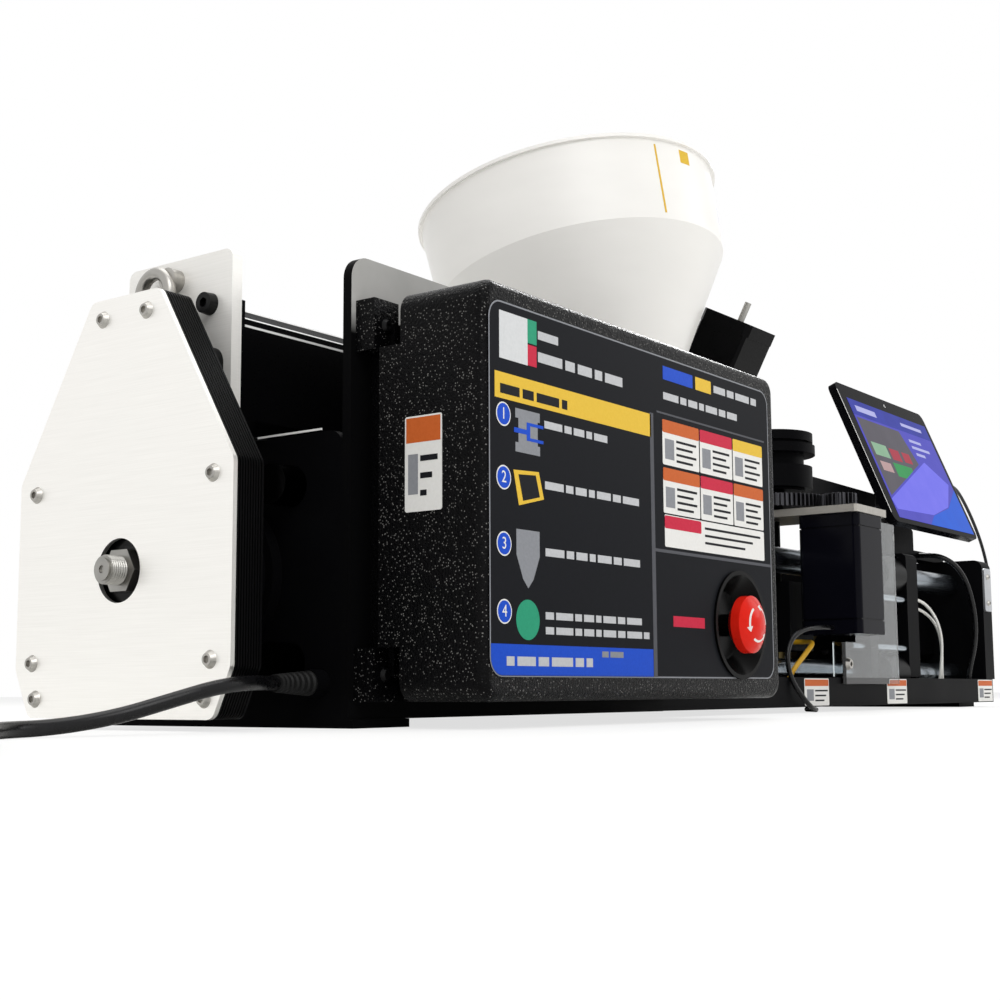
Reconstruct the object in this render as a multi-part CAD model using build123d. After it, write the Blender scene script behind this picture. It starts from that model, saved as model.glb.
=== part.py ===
from build123d import *
import os
from math import cos, degrees, pi, radians, sin, tan

# Desktop injection molding machine. Millimetres, +Z up, +X runs from the drive end to the mould end.
# The origin is the middle of the underside of the drive-end foot plate, under the screw axis.

# Fits and cuts
run_fit = 0.05
air_gap = 0.3
cut_over = 2.0

# Machine axis: ball screw, plunger, barrel and clamp rod share it
axis_z = 91.0

# Foot plates
foot_len = 50.0
foot_half_w = 106.0
foot_t = 5.0
mould_foot_half_w = 84.0
mould_foot_inset = 34.0

# Rear platen, with a strain relief for the power cord
platen_t = 22.0
platen_half_w = 96.0
platen_top_z = 175.0
platen_corner_r = 10.0
relief_len = 10.0
relief_r = 8.0
relief_y = -80.0
relief_z = 26.0

# Bed rails and bed plate
rail_len = 1122.0
rail_t = 12.0
rail_h = 27.0
bed_z0 = 8.0
bed_t = 8.0

# End platen
end_platen_t = 30.0
end_platen_overhang = 8.0
end_platen_top_z = 173.0

# Tie bars
tie_r = 12.5
tie_half_y = 55.0
tie_half_z = 53.0
tie_nose = 18.0

# End plate, bearing housing and lifting eye
end_plate_t = 8.0
end_plate_half_w = 46.5
end_plate_z0 = 52.0
end_plate_top_z = 284.0
end_plate_corner_r = 6.0
bearing_len = 35.0
bearing_r = 42.0
bearing_flange_r = 48.0
bearing_flange_t = 8.0
eye_ring_r = 13.0
eye_rod_r = 4.0
eye_ring_y = 12.0
eye_ring_z = 262.5
eye_ring_stand = 8.5
eye_boss_r = 7.0
eye_boss_turn = 140.0

# Belt housing and cover
cover_t = 3.0
housing_depth = 20.0
housing_wall = 5.0
housing_back_t = 3.0
neck_len = 18.0
neck_half_w = 40.0
neck_z0 = 58.0
neck_top_z = 225.0
neck_wall = 5.0
cover_base_z = 6.3
cover_base_half_w = 80.0
cover_skirt_z = 35.0
cover_half_w = 93.5
cover_shoulder_z = 148.0
cover_top_z = 253.4
cover_top_half_w = 30.0
cover_corner_r = 7.0
cover_hole_r = 18.7
rib_count = 9
rib_groove_w = 0.9
rib_groove_deep = 1.1

# Ball screw with lock nut, pulleys and belt
screw_r = 10.0
screw_nose_r = 8.0
screw_nose_stand = 11.0
screw_reach = 194.0
nut_flats = 24.0
nut_t = 6.0
pulley_w = 12.0
pulley_gap = 2.0
screw_pulley_r = 58.0
pulley_hole_r = 11.0
pulley_hole_at = 36.0
pulley_hole_count = 5
motor_pulley_r = 24.0
belt_t = 3.0

# Injection motor
motor_axis_z = 214.5
motor_flange_half = 41.0
motor_flange_t = 8.0
motor_half = 38.5
motor_len = 133.0
motor_cap_len = 26.0
motor_cap_half = 34.0
motor_chamfer = 8.0
motor_shaft_r = 7.0
motor_pilot_r = 25.0

# Crosshead and plunger
crosshead_at = 44.0
crosshead_t = 25.0
crosshead_half_w = 78.0
crosshead_z0 = 20.0
crosshead_top_z = 164.0
sleeve_len = 185.0
sleeve_r = 25.0
sleeve_bore_r = 16.0
sleeve_cap_t = 8.0
plunger_r = 11.95
plunger_len = 125.0

# Barrel carrier, barrel and heater bands
carrier_at = 364.0
carrier_t = 22.0
carrier_half_w = 78.0
carrier_top_z = 166.0
barrel_r = 25.0
barrel_bore_r = 12.0
barrel_bore_len = 240.0
melt_bore_r = 5.0
nozzle_cone_len = 12.0
nozzle_len = 27.7
nozzle_r = 12.0
nozzle_stand = 0.3
band_r = 31.0
band_len = 34.0
band_gap = 9.0
band_lug = 8.0

# Feed block, hopper and feed motor
feed_at = 464.0
feed_y = 10.0
feed_block_x_back = 25.0
feed_block_len = 190.0
feed_block_y0 = -34.0
feed_block_y1 = 38.0
feed_block_z0 = 60.0
feed_saddle_z0 = 160.0
feed_saddle_y1 = 72.0
feed_saddle_z1 = 188.0
feed_seat_z = 200.0
feed_socket_r = 26.0
feed_passage_r = 13.0
hopper_lean = 12.2
hopper_throat_r = 16.0
hopper_flange_t = 6.0
hopper_cone_h = 199.5
hopper_break_r = 133.0
hopper_collar_h = 75.8
hopper_rim_r = 137.7
hopper_wall = 3.0
hopper_lip = 3.0
feed_motor_at = 602.0
feed_motor_lean = 28.0
feed_motor_y = -4.3
feed_motor_z = 305.9
feed_motor_half = 28.2
feed_motor_len = 76.0
feed_motor_chamfer = 5.0
feed_motor_waist = 1.2
feed_cap_len = 12.0
feed_flange_t = 6.0
feed_tube_r = 18.0
feed_tube_bore_r = 12.0
feed_tube_len = 150.0
feed_tube_floor = 14.0
feed_shaft_r = 3.2
feed_shaft_stand = 19.0
auger_core_r = 5.0
auger_r = 10.5
auger_flight_t = 3.0
auger_flight_pitch = 14.0

# Valve block, plate, motor, gears, stem and lever
valve_at = 671.5
valve_half_len = 25.5
valve_y0 = -62.0
valve_y1 = 34.0
valve_z0 = 58.0
valve_z1 = 124.0
valve_stem_y = -33.0
valve_stem_r = 8.0
valve_stem_seat = 24.0
valve_post_r = 6.0
valve_post_y = 22.0
valve_post_x = 19.0
valve_plate_z0 = 185.0
valve_plate_t = 7.0
valve_plate_half_len = 37.0
valve_plate_y0 = -137.5
valve_plate_y1 = 30.0
valve_plate_corner_r = 4.0
valve_motor_half = 30.5
valve_motor_len = 113.0
valve_motor_y = -105.0
valve_motor_cap = 13.0
valve_motor_groove = 1.4
valve_motor_corner_r = 6.0
valve_shaft_r = 4.0
valve_shaft_deep = 35.0
gear_module = 1.5
gear_teeth = 76
pinion_teeth = 20
gear_w = 12.0
gear_lift = 3.0
gear_addendum_share = 0.9
gear_dedendum_share = 1.25
gear_root_share = 0.58
gear_tip_share = 0.2
gear_hole_r = 9.0
gear_hole_at = 34.0
gear_hole_count = 6
stem_washer_r = 12.0
hub_collar_r = 14.0
hub_collar_h = 7.0
hub_r = 33.0
hub_h = 36.0
hub_disc_r = 44.0
hub_disc_t = 9.0
hub_groove_r = 38.0
hub_groove_t = 3.0
hub_cap_r = 42.0
lever_lift = 2.0
lever_t = 22.0
lever_ring_r = 41.0
lever_len = 248.0
lever_root_w = 26.0
lever_tip_w = 14.0

# Fixed and moving platens with the clamp
mould_half_w = 78.0
fixed_at = 794.0
fixed_t = 20.0
fixed_top_z = 168.0
nozzle_hole_r = 12.5
mould_bolt_half = 30.0
mould_bolt_r = 4.25
moving_at = 911.0
moving_t = 32.0
moving_half_w = 76.0
moving_z0 = 34.0
moving_top_z = 169.0
moving_corner_r = 6.0
bush_r = 22.0
bush_len = 60.0
bush_flange_r = 16.0
bush_flange_t = 6.0
pin_r = 4.5
pin_len = 152.0
pin_y = 70.0
pin_half_z = 26.5
clamp_rod_r = 14.0
clamp_motor_len = 60.0
clamp_motor_half = 35.0
clamp_motor_chamfer = 6.0

# Clear guard, with a low foot that reaches under the valve motor
guard_motor_gap = 8.0
guard_end_past = 5.0
guard_foot_len = 27.0
guard_foot_drop = 6.0
guard_t = 4.0
guard_z0 = 26.0
guard_top_z = 190.0
guard_return = 12.0
guard_rest = 1.0

# Mounting plate and control box
mount_plate_t = 6.5
mount_plate_len = 356.0
mount_plate_top_z = 280.0
mount_plate_corner_r = 14.0
box_inset = 4.0
box_len = 361.0
box_z0 = 15.0
box_h = 237.0
box_depth = 76.5
box_wall = 4.0
box_corner_r = 12.0
box_edge_r = 6.0
box_back_depth = 18.5
box_back_inset = 14.0
box_foot_w = 22.0
box_foot_h = 31.0
box_foot_depth = 14.5
box_notch_depth = 16.0

# Emergency stop: collar with a dished face, stem and mushroom head
estop_from_end = 64.1
estop_z = 66.2
estop_rim_r = 38.0
estop_rim_t = 2.0
estop_body_r = 36.0
estop_dish_r = 35.0
estop_floor_r = 24.0
estop_dish_deep = 12.5
estop_floor_t = 6.0
estop_stem_r = 8.0
estop_stem_len = 30.0
estop_neck_r = 14.0
estop_head_r = 20.0
estop_head_t = 18.0
estop_head_flare = 5.0
estop_head_dome = 6.5
estop_head_lift = 8.0

# Tablet, its bracket and its arm
tablet_at = 979.0
tablet_y = -58.0
tablet_z = 278.0
tablet_lean = 22.1
tablet_w = 262.0
tablet_h = 172.0
tablet_t = 9.0
tablet_corner_r = 10.0
bracket_half = 25.0
bracket_t = 4.0
bracket_cheek_t = 6.0
pivot_back = 27.0
pivot_pin_r = 4.0
pivot_ear_r = 10.0
pivot_ear_half = 8.0
arm_t = 10.0
arm_front = 6.0
arm_back = 14.0
arm_heel = 40.0
arm_toe = 54.0
arm_shoulder_h = 22.0
arm_neck_h = 50.0

# Cords: diameters, and routes as points chosen by hand. Each x is measured from the part the cord leaves
power_cord_d = 8.0
tablet_cable_d = 4.0
signal_cable_d = 6.0
wire_d = 3.4
valve_cable_d = 4.6
heater_lead_d = 4.6
coil_mid_r = 44.0
coil_lead = 46.0
coil_tail = 44.0
plug_len = 46.0
plug_w = 30.0
plug_h = 22.0
plug_blade_len = 17.0
plug_blade_t = 1.6
plug_blade_w = 6.3
plug_blade_half_gap = 6.4

cord_lead = 18.0
wire_lead = 12.0
power_cord_way = [
    (-47, -86, 26), (-65, -99, 26), (-85, -109, 26), (-109, -109, 24), (-131, -98, 17), (-153, -84, 9),
    (-179, -78, 4.5), (-207, -88, 4), (-237, -118, 4), (-269, -166, 4), (-305, -214, 4), (-337, -249, 4),
    (-360, -258, 4), (-384, -255, 4), (-403, -241, 4), (-414, -219, 4), (-415, -195, 4),
]
tablet_cable_drop = 10.0
tablet_cable_way = [
    (22, -58, 256), (51, -60, 232), (79, -62, 200), (100, -62, 163), (108, -58, 124), (97, -50, 92),
    (71, -44, 70), (36, -42, 60), (0, -42, 60),
]
signal_cable_x = -51.0
signal_cable_way = [
    (-47, -68, 174), (-39, -80, 164), (-31, -88, 146), (-23, -91.5, 121), (-17, -92, 94), (-16, -89, 69),
    (-16, -84, 50), (-15, -80, 33),
]
wire_starts = [(-70, 120), (-60, 113)]
wire_ways = [
    [
        (28, -72, 117), (45, -74, 109), (60, -75, 96), (69, -75, 79), (68, -74, 60), (64, -73.5, 44),
        (62, -73, 29.5),
    ],
    [
        (30, -62, 111.5), (48, -66, 107), (66, -70, 98), (79, -72.5, 84), (84, -73, 66), (81, -73, 48),
        (78, -72.5, 31.5),
    ],
]
valve_cable_y = -107.0
valve_cable_z = 78.0
valve_cable_way = [
    (-30, -104, 77.5), (-48, -99.5, 75), (-63, -96, 67.5), (-72, -94.5, 54), (-73, -96, 38), (-68, -99.5, 24),
    (-58, -103, 13), (-45, -104, 5), (-30, -101.5, 2.4), (-15, -95, 2.4), (-2, -85.5, 2.4), (8, -75, 2.4),
]
heater_lead_x = -18.5
heater_lead_z = 66.0
heater_lead_out = 10.0
heater_lead_way = [
    (-23, -82, 65.5), (-33.5, -88, 63), (-45.5, -89.5, 58), (-56.5, -88, 50), (-65.5, -84.5, 41),
    (-71, -81, 31.5), (-73, -79.5, 23.5),
]

# Stations along the machine
platen_x0 = -foot_len / 2
bed_x0 = platen_x0 + platen_t
rail_x1 = bed_x0 + rail_len
end_platen_x1 = rail_x1 + end_platen_overhang
end_platen_x0 = end_platen_x1 - end_platen_t
rail_top_z = foot_t + rail_h
rail_inner = platen_half_w - rail_t
bed_z1 = bed_z0 + bed_t
end_plate_x1 = platen_x0 - bearing_len
end_plate_x0 = end_plate_x1 - end_plate_t
housing_x1 = end_plate_x0 - neck_len
housing_x0 = housing_x1 - housing_depth
cover_x0 = housing_x0 - cover_t
pulley_x1 = housing_x1 - housing_back_t - pulley_gap
pulley_x0 = pulley_x1 - pulley_w
crosshead_x0 = bed_x0 + crosshead_at
crosshead_x1 = crosshead_x0 + crosshead_t
plunger_x0 = crosshead_x1 + sleeve_len
carrier_x0 = bed_x0 + carrier_at
feed_x = bed_x0 + feed_at
feed_motor_x = bed_x0 + feed_motor_at
valve_x = bed_x0 + valve_at
valve_plate_z1 = valve_plate_z0 + valve_plate_t
gear_z0 = valve_plate_z1 + gear_lift
gear_z1 = gear_z0 + gear_w
fixed_x0 = bed_x0 + fixed_at
fixed_x1 = fixed_x0 + fixed_t
nozzle_x1 = fixed_x1 - nozzle_stand
nozzle_x0 = nozzle_x1 - nozzle_len
barrel_x1 = nozzle_x0 - nozzle_cone_len
moving_x0 = bed_x0 + moving_at
moving_x1 = moving_x0 + moving_t
mount_plate_y0 = -platen_half_w - mount_plate_t
box_x0 = platen_x0 + box_inset
box_x1 = box_x0 + box_len
box_z1 = box_z0 + box_h
box_back_y = mount_plate_y0 - box_back_depth
box_front_y = box_back_y - box_depth
estop_x = box_x1 - estop_from_end
tablet_x = bed_x0 + tablet_at

# Leaning frames
hopper_frame = Plane(
    origin=(feed_x, feed_y, feed_seat_z),
    x_dir=(1, 0, 0),
    z_dir=(0, sin(radians(hopper_lean)), cos(radians(hopper_lean))),
)
feed_motor_frame = Plane(
    origin=(feed_motor_x, feed_motor_y, feed_motor_z),
    x_dir=(1, 0, 0),
    z_dir=(0, -sin(radians(feed_motor_lean)), cos(radians(feed_motor_lean))),
)
tablet_frame = Plane(
    origin=(tablet_x, tablet_y, tablet_z),
    x_dir=(1, 0, 0),
    z_dir=(0, -cos(radians(tablet_lean)), sin(radians(tablet_lean))),
)
pivot_point = tablet_frame.from_local_coords(Vector(0, 0, -pivot_back))


# Plain solids
def block(x0, x1, y0, y1, z0, z1):
    middle = Pos((x0 + x1) / 2, (y0 + y1) / 2, (z0 + z1) / 2)
    return middle * Box(x1 - x0, y1 - y0, z1 - z0)


def rod_x(x0, x1, y, z, r):
    return Pos((x0 + x1) / 2, y, z) * Rot(0, 90, 0) * Cylinder(r, x1 - x0)


def rod_y(x, y0, y1, z, r):
    return Pos(x, (y0 + y1) / 2, z) * Rot(90, 0, 0) * Cylinder(r, y1 - y0)


def rod_z(x, y, z0, z1, r):
    return Pos(x, y, (z0 + z1) / 2) * Cylinder(r, z1 - z0)


# A flat plate standing across the machine, from a face drawn in Y and Z
def plate_x(x0, x1, face):
    return extrude(Plane.YZ.offset(x0) * face, amount=x1 - x0)


# A flat plate standing along the machine, from a face drawn in X and Z
def plate_y(y0, y1, face):
    return extrude(Plane.XZ.offset(-y1) * face, amount=y1 - y0)


# A rectangle with its two upper corners rounded
def round_top(u0, u1, v0, v1, r):
    face = Pos((u0 + u1) / 2, (v0 + v1) / 2) * Rectangle(u1 - u0, v1 - v0)
    return fillet(face.vertices().sort_by(Axis.Y)[-2:], r)


# A solid of revolution from (radius, height) points, about Z
def turned(points):
    return revolve(Plane.XZ * make_face(Polyline(*points, close=True)), Axis.Z)


# The four tie bar centres as (y, z)
def tie_places():
    return [(y, axis_z + z) for y in (-tie_half_y, tie_half_y) for z in (-tie_half_z, tie_half_z)]


def tie_holes(x0, x1):
    return [rod_x(x0 - cut_over, x1 + cut_over, y, z, tie_r + run_fit) for y, z in tie_places()]


# Bed
def foot_plate(x0, half_w):
    return block(x0, x0 + foot_len, -half_w, half_w, 0, foot_t)


def bed_rail(side):
    edges = sorted((side * rail_inner, side * platen_half_w))
    return block(bed_x0, rail_x1, edges[0], edges[1], foot_t, rail_top_z)


def bed_plate():
    return block(bed_x0, end_platen_x0, -rail_inner, rail_inner, bed_z0, bed_z1)


def rear_platen():
    face = round_top(-platen_half_w, platen_half_w, foot_t, platen_top_z, platen_corner_r)
    body = plate_x(platen_x0, bed_x0, face)
    body -= tie_holes(platen_x0, bed_x0)
    body -= rod_x(platen_x0 - cut_over, bed_x0 + cut_over, 0, axis_z, screw_r + run_fit)
    body += rod_x(platen_x0 - relief_len, platen_x0, relief_y, relief_z, relief_r)
    return body


def end_platen():
    face = round_top(-platen_half_w, platen_half_w, rail_top_z, end_platen_top_z, platen_corner_r)
    body = plate_x(end_platen_x0, end_platen_x1, face)
    body += block(end_platen_x0, rail_x1, -rail_inner, rail_inner, bed_z1, rail_top_z)
    body -= tie_holes(end_platen_x0, end_platen_x1)
    body -= rod_x(end_platen_x0 - cut_over, end_platen_x1 + cut_over, 0, axis_z, clamp_rod_r + run_fit)
    return body


def tie_bars():
    return Part() + [rod_x(platen_x0 - tie_nose, end_platen_x1, y, z, tie_r) for y, z in tie_places()]


# Drive end
def cover_face():
    half = [
        (cover_base_half_w, cover_base_z),
        (cover_half_w, cover_skirt_z),
        (cover_half_w, cover_shoulder_z),
        (cover_top_half_w, cover_top_z),
    ]
    other = [(-y, z) for y, z in reversed(half)]
    face = make_face(Polyline(*half, *other, close=True))
    return fillet(face.vertices(), cover_corner_r)


def belt_cover():
    return plate_x(cover_x0, housing_x0, cover_face() - Pos(0, axis_z) * Circle(cover_hole_r))


def belt_housing():
    outline = cover_face()
    body = plate_x(housing_x0, housing_x1, outline)
    inner = offset(outline, amount=-housing_wall)
    body -= plate_x(housing_x0 - cut_over, housing_x1 - housing_back_t, inner)
    neck = round_top(-neck_half_w, neck_half_w, neck_z0, neck_top_z, housing_wall + neck_wall)
    body += plate_x(housing_x1, end_plate_x0, neck - offset(neck, amount=-neck_wall))
    for z, r in ((axis_z, cover_hole_r), (motor_axis_z, motor_shaft_r + cut_over)):
        body -= rod_x(housing_x0, end_plate_x0 + cut_over, 0, z, r)
    ring = outline - offset(outline, amount=-rib_groove_deep)
    pitch = housing_depth / (rib_count + 1)
    for i in range(rib_count):
        x = housing_x0 + (i + 1) * pitch
        body -= plate_x(x - rib_groove_w / 2, x + rib_groove_w / 2, ring)
    return body


def end_plate():
    face = round_top(
        -end_plate_half_w, end_plate_half_w, end_plate_z0, end_plate_top_z, end_plate_corner_r
    )
    body = plate_x(end_plate_x0, end_plate_x1, face)
    body -= rod_x(end_plate_x0 - cut_over, end_plate_x1 + cut_over, 0, axis_z, screw_r + air_gap)
    body -= rod_x(end_plate_x0 - cut_over, end_plate_x1 + cut_over, 0, motor_axis_z, motor_pilot_r)
    return body


def bearing_housing():
    body = rod_x(end_plate_x1, platen_x0, 0, axis_z, bearing_r)
    body += rod_x(platen_x0 - bearing_flange_t, platen_x0, 0, axis_z, bearing_flange_r)
    return body - rod_x(end_plate_x1 - cut_over, platen_x0 + cut_over, 0, axis_z, screw_r + run_fit)


def lifting_eye():
    ring_x = end_plate_x0 - eye_ring_stand
    ring = Pos(ring_x, eye_ring_y, eye_ring_z) * Rot(0, 90, 0) * Torus(eye_ring_r, eye_rod_r)
    boss_y = eye_ring_y + eye_ring_r * cos(radians(eye_boss_turn))
    boss_z = eye_ring_z + eye_ring_r * sin(radians(eye_boss_turn))
    return ring + rod_x(ring_x, end_plate_x0, boss_y, boss_z, eye_boss_r)


def motor_square(x0, x1, half, cut):
    body = block(x0, x1, -half, half, motor_axis_z - half, motor_axis_z + half)
    return chamfer(body.edges().filter_by(Axis.X), cut)


def injection_motor():
    body_x0 = end_plate_x1 + motor_flange_t
    body = block(
        end_plate_x1, body_x0, -motor_flange_half, motor_flange_half,
        motor_axis_z - motor_flange_half, motor_axis_z + motor_flange_half,
    )
    body += rod_x(end_plate_x0, end_plate_x1, 0, motor_axis_z, motor_pilot_r - air_gap)
    body += motor_square(body_x0, body_x0 + motor_len, motor_half, motor_chamfer)
    cap_x0 = body_x0 + motor_len
    body += motor_square(cap_x0, cap_x0 + motor_cap_len, motor_cap_half, motor_chamfer)
    return body - rod_x(end_plate_x0 - cut_over, body_x0, 0, motor_axis_z, motor_shaft_r + run_fit)


def ball_screw():
    nose_x0 = cover_x0 - screw_nose_stand
    body = rod_x(nose_x0, pulley_x1, 0, axis_z, screw_nose_r)
    body += rod_x(pulley_x1, bed_x0 + screw_reach, 0, axis_z, screw_r)
    hexagon = RegularPolygon(nut_flats / 2, 6, major_radius=False)
    return body + plate_x(pulley_x0 - nut_t, pulley_x0, Pos(0, axis_z) * hexagon)


def screw_pulley():
    face = Circle(screw_pulley_r) - Circle(screw_nose_r + run_fit)
    face -= PolarLocations(pulley_hole_at, pulley_hole_count) * Circle(pulley_hole_r)
    return plate_x(pulley_x0, pulley_x1, Pos(0, axis_z) * face)


def motor_pulley():
    body = rod_x(pulley_x0, pulley_x1, 0, motor_axis_z, motor_pulley_r)
    return body + rod_x(pulley_x1, end_plate_x1 + motor_flange_t, 0, motor_axis_z, motor_shaft_r)


# The loop round both pulleys, grown by a margin
def belt_loop(margin):
    low = Pos(0, axis_z) * Circle(screw_pulley_r + margin)
    high = Pos(0, motor_axis_z) * Circle(motor_pulley_r + margin)
    return make_hull(low.edges() + high.edges())


def drive_belt():
    return plate_x(pulley_x0, pulley_x1, belt_loop(air_gap + belt_t) - belt_loop(air_gap))


# Injection unit
def crosshead():
    face = round_top(-crosshead_half_w, crosshead_half_w, crosshead_z0, crosshead_top_z, platen_corner_r)
    body = plate_x(crosshead_x0, crosshead_x1, face)
    body -= tie_holes(crosshead_x0, crosshead_x1)
    body += rod_x(crosshead_x1, plunger_x0, 0, axis_z, sleeve_r)
    body -= rod_x(crosshead_x1, plunger_x0 - sleeve_cap_t, 0, axis_z, sleeve_bore_r)
    return body - rod_x(crosshead_x0 - cut_over, crosshead_x1 + cut_over, 0, axis_z, screw_r + run_fit)


def plunger():
    return rod_x(plunger_x0, plunger_x0 + plunger_len, 0, axis_z, plunger_r)


def barrel_carrier():
    face = round_top(-carrier_half_w, carrier_half_w, bed_z1, carrier_top_z, platen_corner_r)
    x1 = carrier_x0 + carrier_t
    body = plate_x(carrier_x0, x1, face)
    body -= tie_holes(carrier_x0, x1)
    return body - rod_x(carrier_x0 - cut_over, x1 + cut_over, 0, axis_z, barrel_r + run_fit)


def barrel():
    body = rod_x(carrier_x0, barrel_x1, 0, axis_z, barrel_r)
    cone = Cone(barrel_r, nozzle_r, nozzle_cone_len)
    body += Pos((barrel_x1 + nozzle_x0) / 2, 0, axis_z) * Rot(0, 90, 0) * cone
    body += rod_x(nozzle_x0, nozzle_x1, 0, axis_z, nozzle_r)
    body -= rod_x(carrier_x0 - cut_over, carrier_x0 + barrel_bore_len, 0, axis_z, barrel_bore_r)
    body -= rod_x(carrier_x0, fixed_x1 + cut_over, 0, axis_z, melt_bore_r)
    return body - feed_passage()


def heater_bands():
    start = valve_x + valve_half_len + band_gap
    bands = []
    for i in range(2):
        x0 = start + i * (band_len + band_gap)
        x1 = x0 + band_len
        band = rod_x(x0, x1, 0, axis_z, band_r)
        band += block(x0, x1, -band_lug / 2, band_lug / 2, axis_z - band_r - band_lug, axis_z)
        bands.append(band - rod_x(x0 - cut_over, x1 + cut_over, 0, axis_z, barrel_r + run_fit))
    return Part() + bands


# The leaning way from the hopper down into the barrel
def feed_passage():
    reach = feed_seat_z - axis_z
    return hopper_frame * Pos(0, 0, -reach / 2) * Cylinder(feed_passage_r, reach + cut_over)


def feed_tube():
    return feed_motor_frame * Pos(0, 0, -feed_tube_len / 2) * Cylinder(feed_tube_r, feed_tube_len)


def feed_block():
    x0 = feed_x - feed_block_x_back
    x1 = x0 + feed_block_len
    body = block(x0, x1, feed_block_y0, feed_block_y1, feed_block_z0, feed_saddle_z0)
    body += block(x0, x1, feed_block_y0, feed_saddle_y1, feed_saddle_z0, feed_saddle_z1)
    socket_deep = feed_seat_z - feed_saddle_z0
    body += hopper_frame * Pos(0, 0, -socket_deep / 2) * Cylinder(feed_socket_r, socket_deep)
    body += feed_tube()
    side = 2 * feed_motor_half
    body += feed_motor_frame * Pos(0, 0, -feed_flange_t / 2) * Box(side, side, feed_flange_t)
    bore_len = feed_tube_len - feed_tube_floor
    bore = Pos(0, 0, -(bore_len - cut_over) / 2) * Cylinder(feed_tube_bore_r, bore_len + cut_over)
    body -= feed_motor_frame * bore
    body -= feed_passage()
    return body - rod_x(x0 - cut_over, x1 + cut_over, 0, axis_z, barrel_r + run_fit)


def hopper():
    points = [
        (hopper_throat_r, 0),
        (feed_socket_r, 0),
        (feed_socket_r, hopper_flange_t),
        (hopper_throat_r + hopper_wall, hopper_flange_t),
        (hopper_break_r, hopper_cone_h),
        (hopper_break_r - hopper_wall, hopper_cone_h),
        (hopper_throat_r, hopper_flange_t + hopper_wall / 2),
    ]
    return hopper_frame * turned(points)


# The upright collar that stands on the funnel's rim
def hopper_collar():
    rim_z = hopper_cone_h + hopper_collar_h
    points = [
        (hopper_break_r - hopper_wall, hopper_cone_h),
        (hopper_break_r, hopper_cone_h),
        (hopper_rim_r, rim_z - hopper_lip),
        (hopper_rim_r + hopper_lip, rim_z - hopper_lip),
        (hopper_rim_r + hopper_lip, rim_z),
        (hopper_rim_r - hopper_wall, rim_z),
    ]
    return hopper_frame * turned(points)


def feed_motor():
    side = 2 * feed_motor_half
    body = Pos(0, 0, feed_motor_len / 2) * Box(side, side, feed_motor_len)
    body = chamfer(body.edges().filter_by(Axis.Z), feed_motor_chamfer)
    waist = feed_motor_len - 2 * feed_cap_len
    band = Box(side + cut_over, side + cut_over, waist)
    slim = side - 2 * feed_motor_waist
    band -= Box(slim, slim, waist + cut_over)
    body -= Pos(0, 0, feed_motor_len / 2) * band
    body -= Pos(0, 0, feed_motor_len / 2) * Cylinder(feed_shaft_r + run_fit, feed_motor_len + cut_over)
    return feed_motor_frame * body


def auger():
    deep = feed_tube_len - feed_tube_floor - air_gap
    top = feed_motor_len + feed_shaft_stand
    body = Pos(0, 0, (top - feed_flange_t) / 2) * Cylinder(feed_shaft_r, top + feed_flange_t)
    body += Pos(0, 0, -(deep + feed_flange_t) / 2) * Cylinder(auger_core_r, deep - feed_flange_t)
    flights = int((deep - feed_flange_t) / auger_flight_pitch)
    for i in range(flights):
        z = -feed_flange_t - auger_flight_pitch * (i + 1) + auger_flight_t
        body += Pos(0, 0, z) * Cylinder(auger_r, auger_flight_t)
    return feed_motor_frame * body


# Valve
def valve_block():
    body = block(valve_x - valve_half_len, valve_x + valve_half_len, valve_y0, valve_y1, valve_z0, valve_z1)
    for x in (-valve_post_x, valve_post_x):
        for y in (-valve_post_y, valve_post_y):
            body += rod_z(valve_x + x, y, valve_z1, valve_plate_z0, valve_post_r)
    body -= rod_z(
        valve_x, valve_stem_y, valve_z1 - valve_stem_seat, valve_z1 + cut_over, valve_stem_r + run_fit
    )
    end = valve_half_len + cut_over
    return body - rod_x(valve_x - end, valve_x + end, 0, axis_z, barrel_r + run_fit)


def valve_plate():
    middle_y = (valve_plate_y0 + valve_plate_y1) / 2
    width = valve_plate_y1 - valve_plate_y0
    face = Pos(valve_x, middle_y) * RectangleRounded(2 * valve_plate_half_len, width, valve_plate_corner_r)
    face -= Pos(valve_x, valve_stem_y) * Circle(valve_stem_r + run_fit)
    face -= Pos(valve_x, valve_motor_y) * Circle(valve_shaft_r + cut_over)
    return extrude(Plane.XY.offset(valve_plate_z0) * face, amount=valve_plate_t)


def valve_motor():
    z0 = valve_plate_z0 - valve_motor_len
    half = valve_motor_half
    body = block(
        valve_x - half, valve_x + half, valve_motor_y - half, valve_motor_y + half, z0, valve_plate_z0
    )
    body = fillet(body.edges().filter_by(Axis.Z), valve_motor_corner_r)
    side = 2 * half
    slim = side - 2 * valve_motor_groove
    inner = RectangleRounded(slim, slim, valve_motor_corner_r - valve_motor_groove)
    ring = Rectangle(side + cut_over, side + cut_over) - inner
    for z in (z0 + valve_motor_cap, valve_plate_z0 - valve_motor_cap):
        body -= extrude(Pos(valve_x, valve_motor_y, z) * ring, amount=valve_motor_groove)
    deep_z = valve_plate_z0 - valve_shaft_deep
    return body - rod_z(valve_x, valve_motor_y, deep_z, valve_plate_z0 + cut_over, valve_shaft_r + run_fit)


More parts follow.
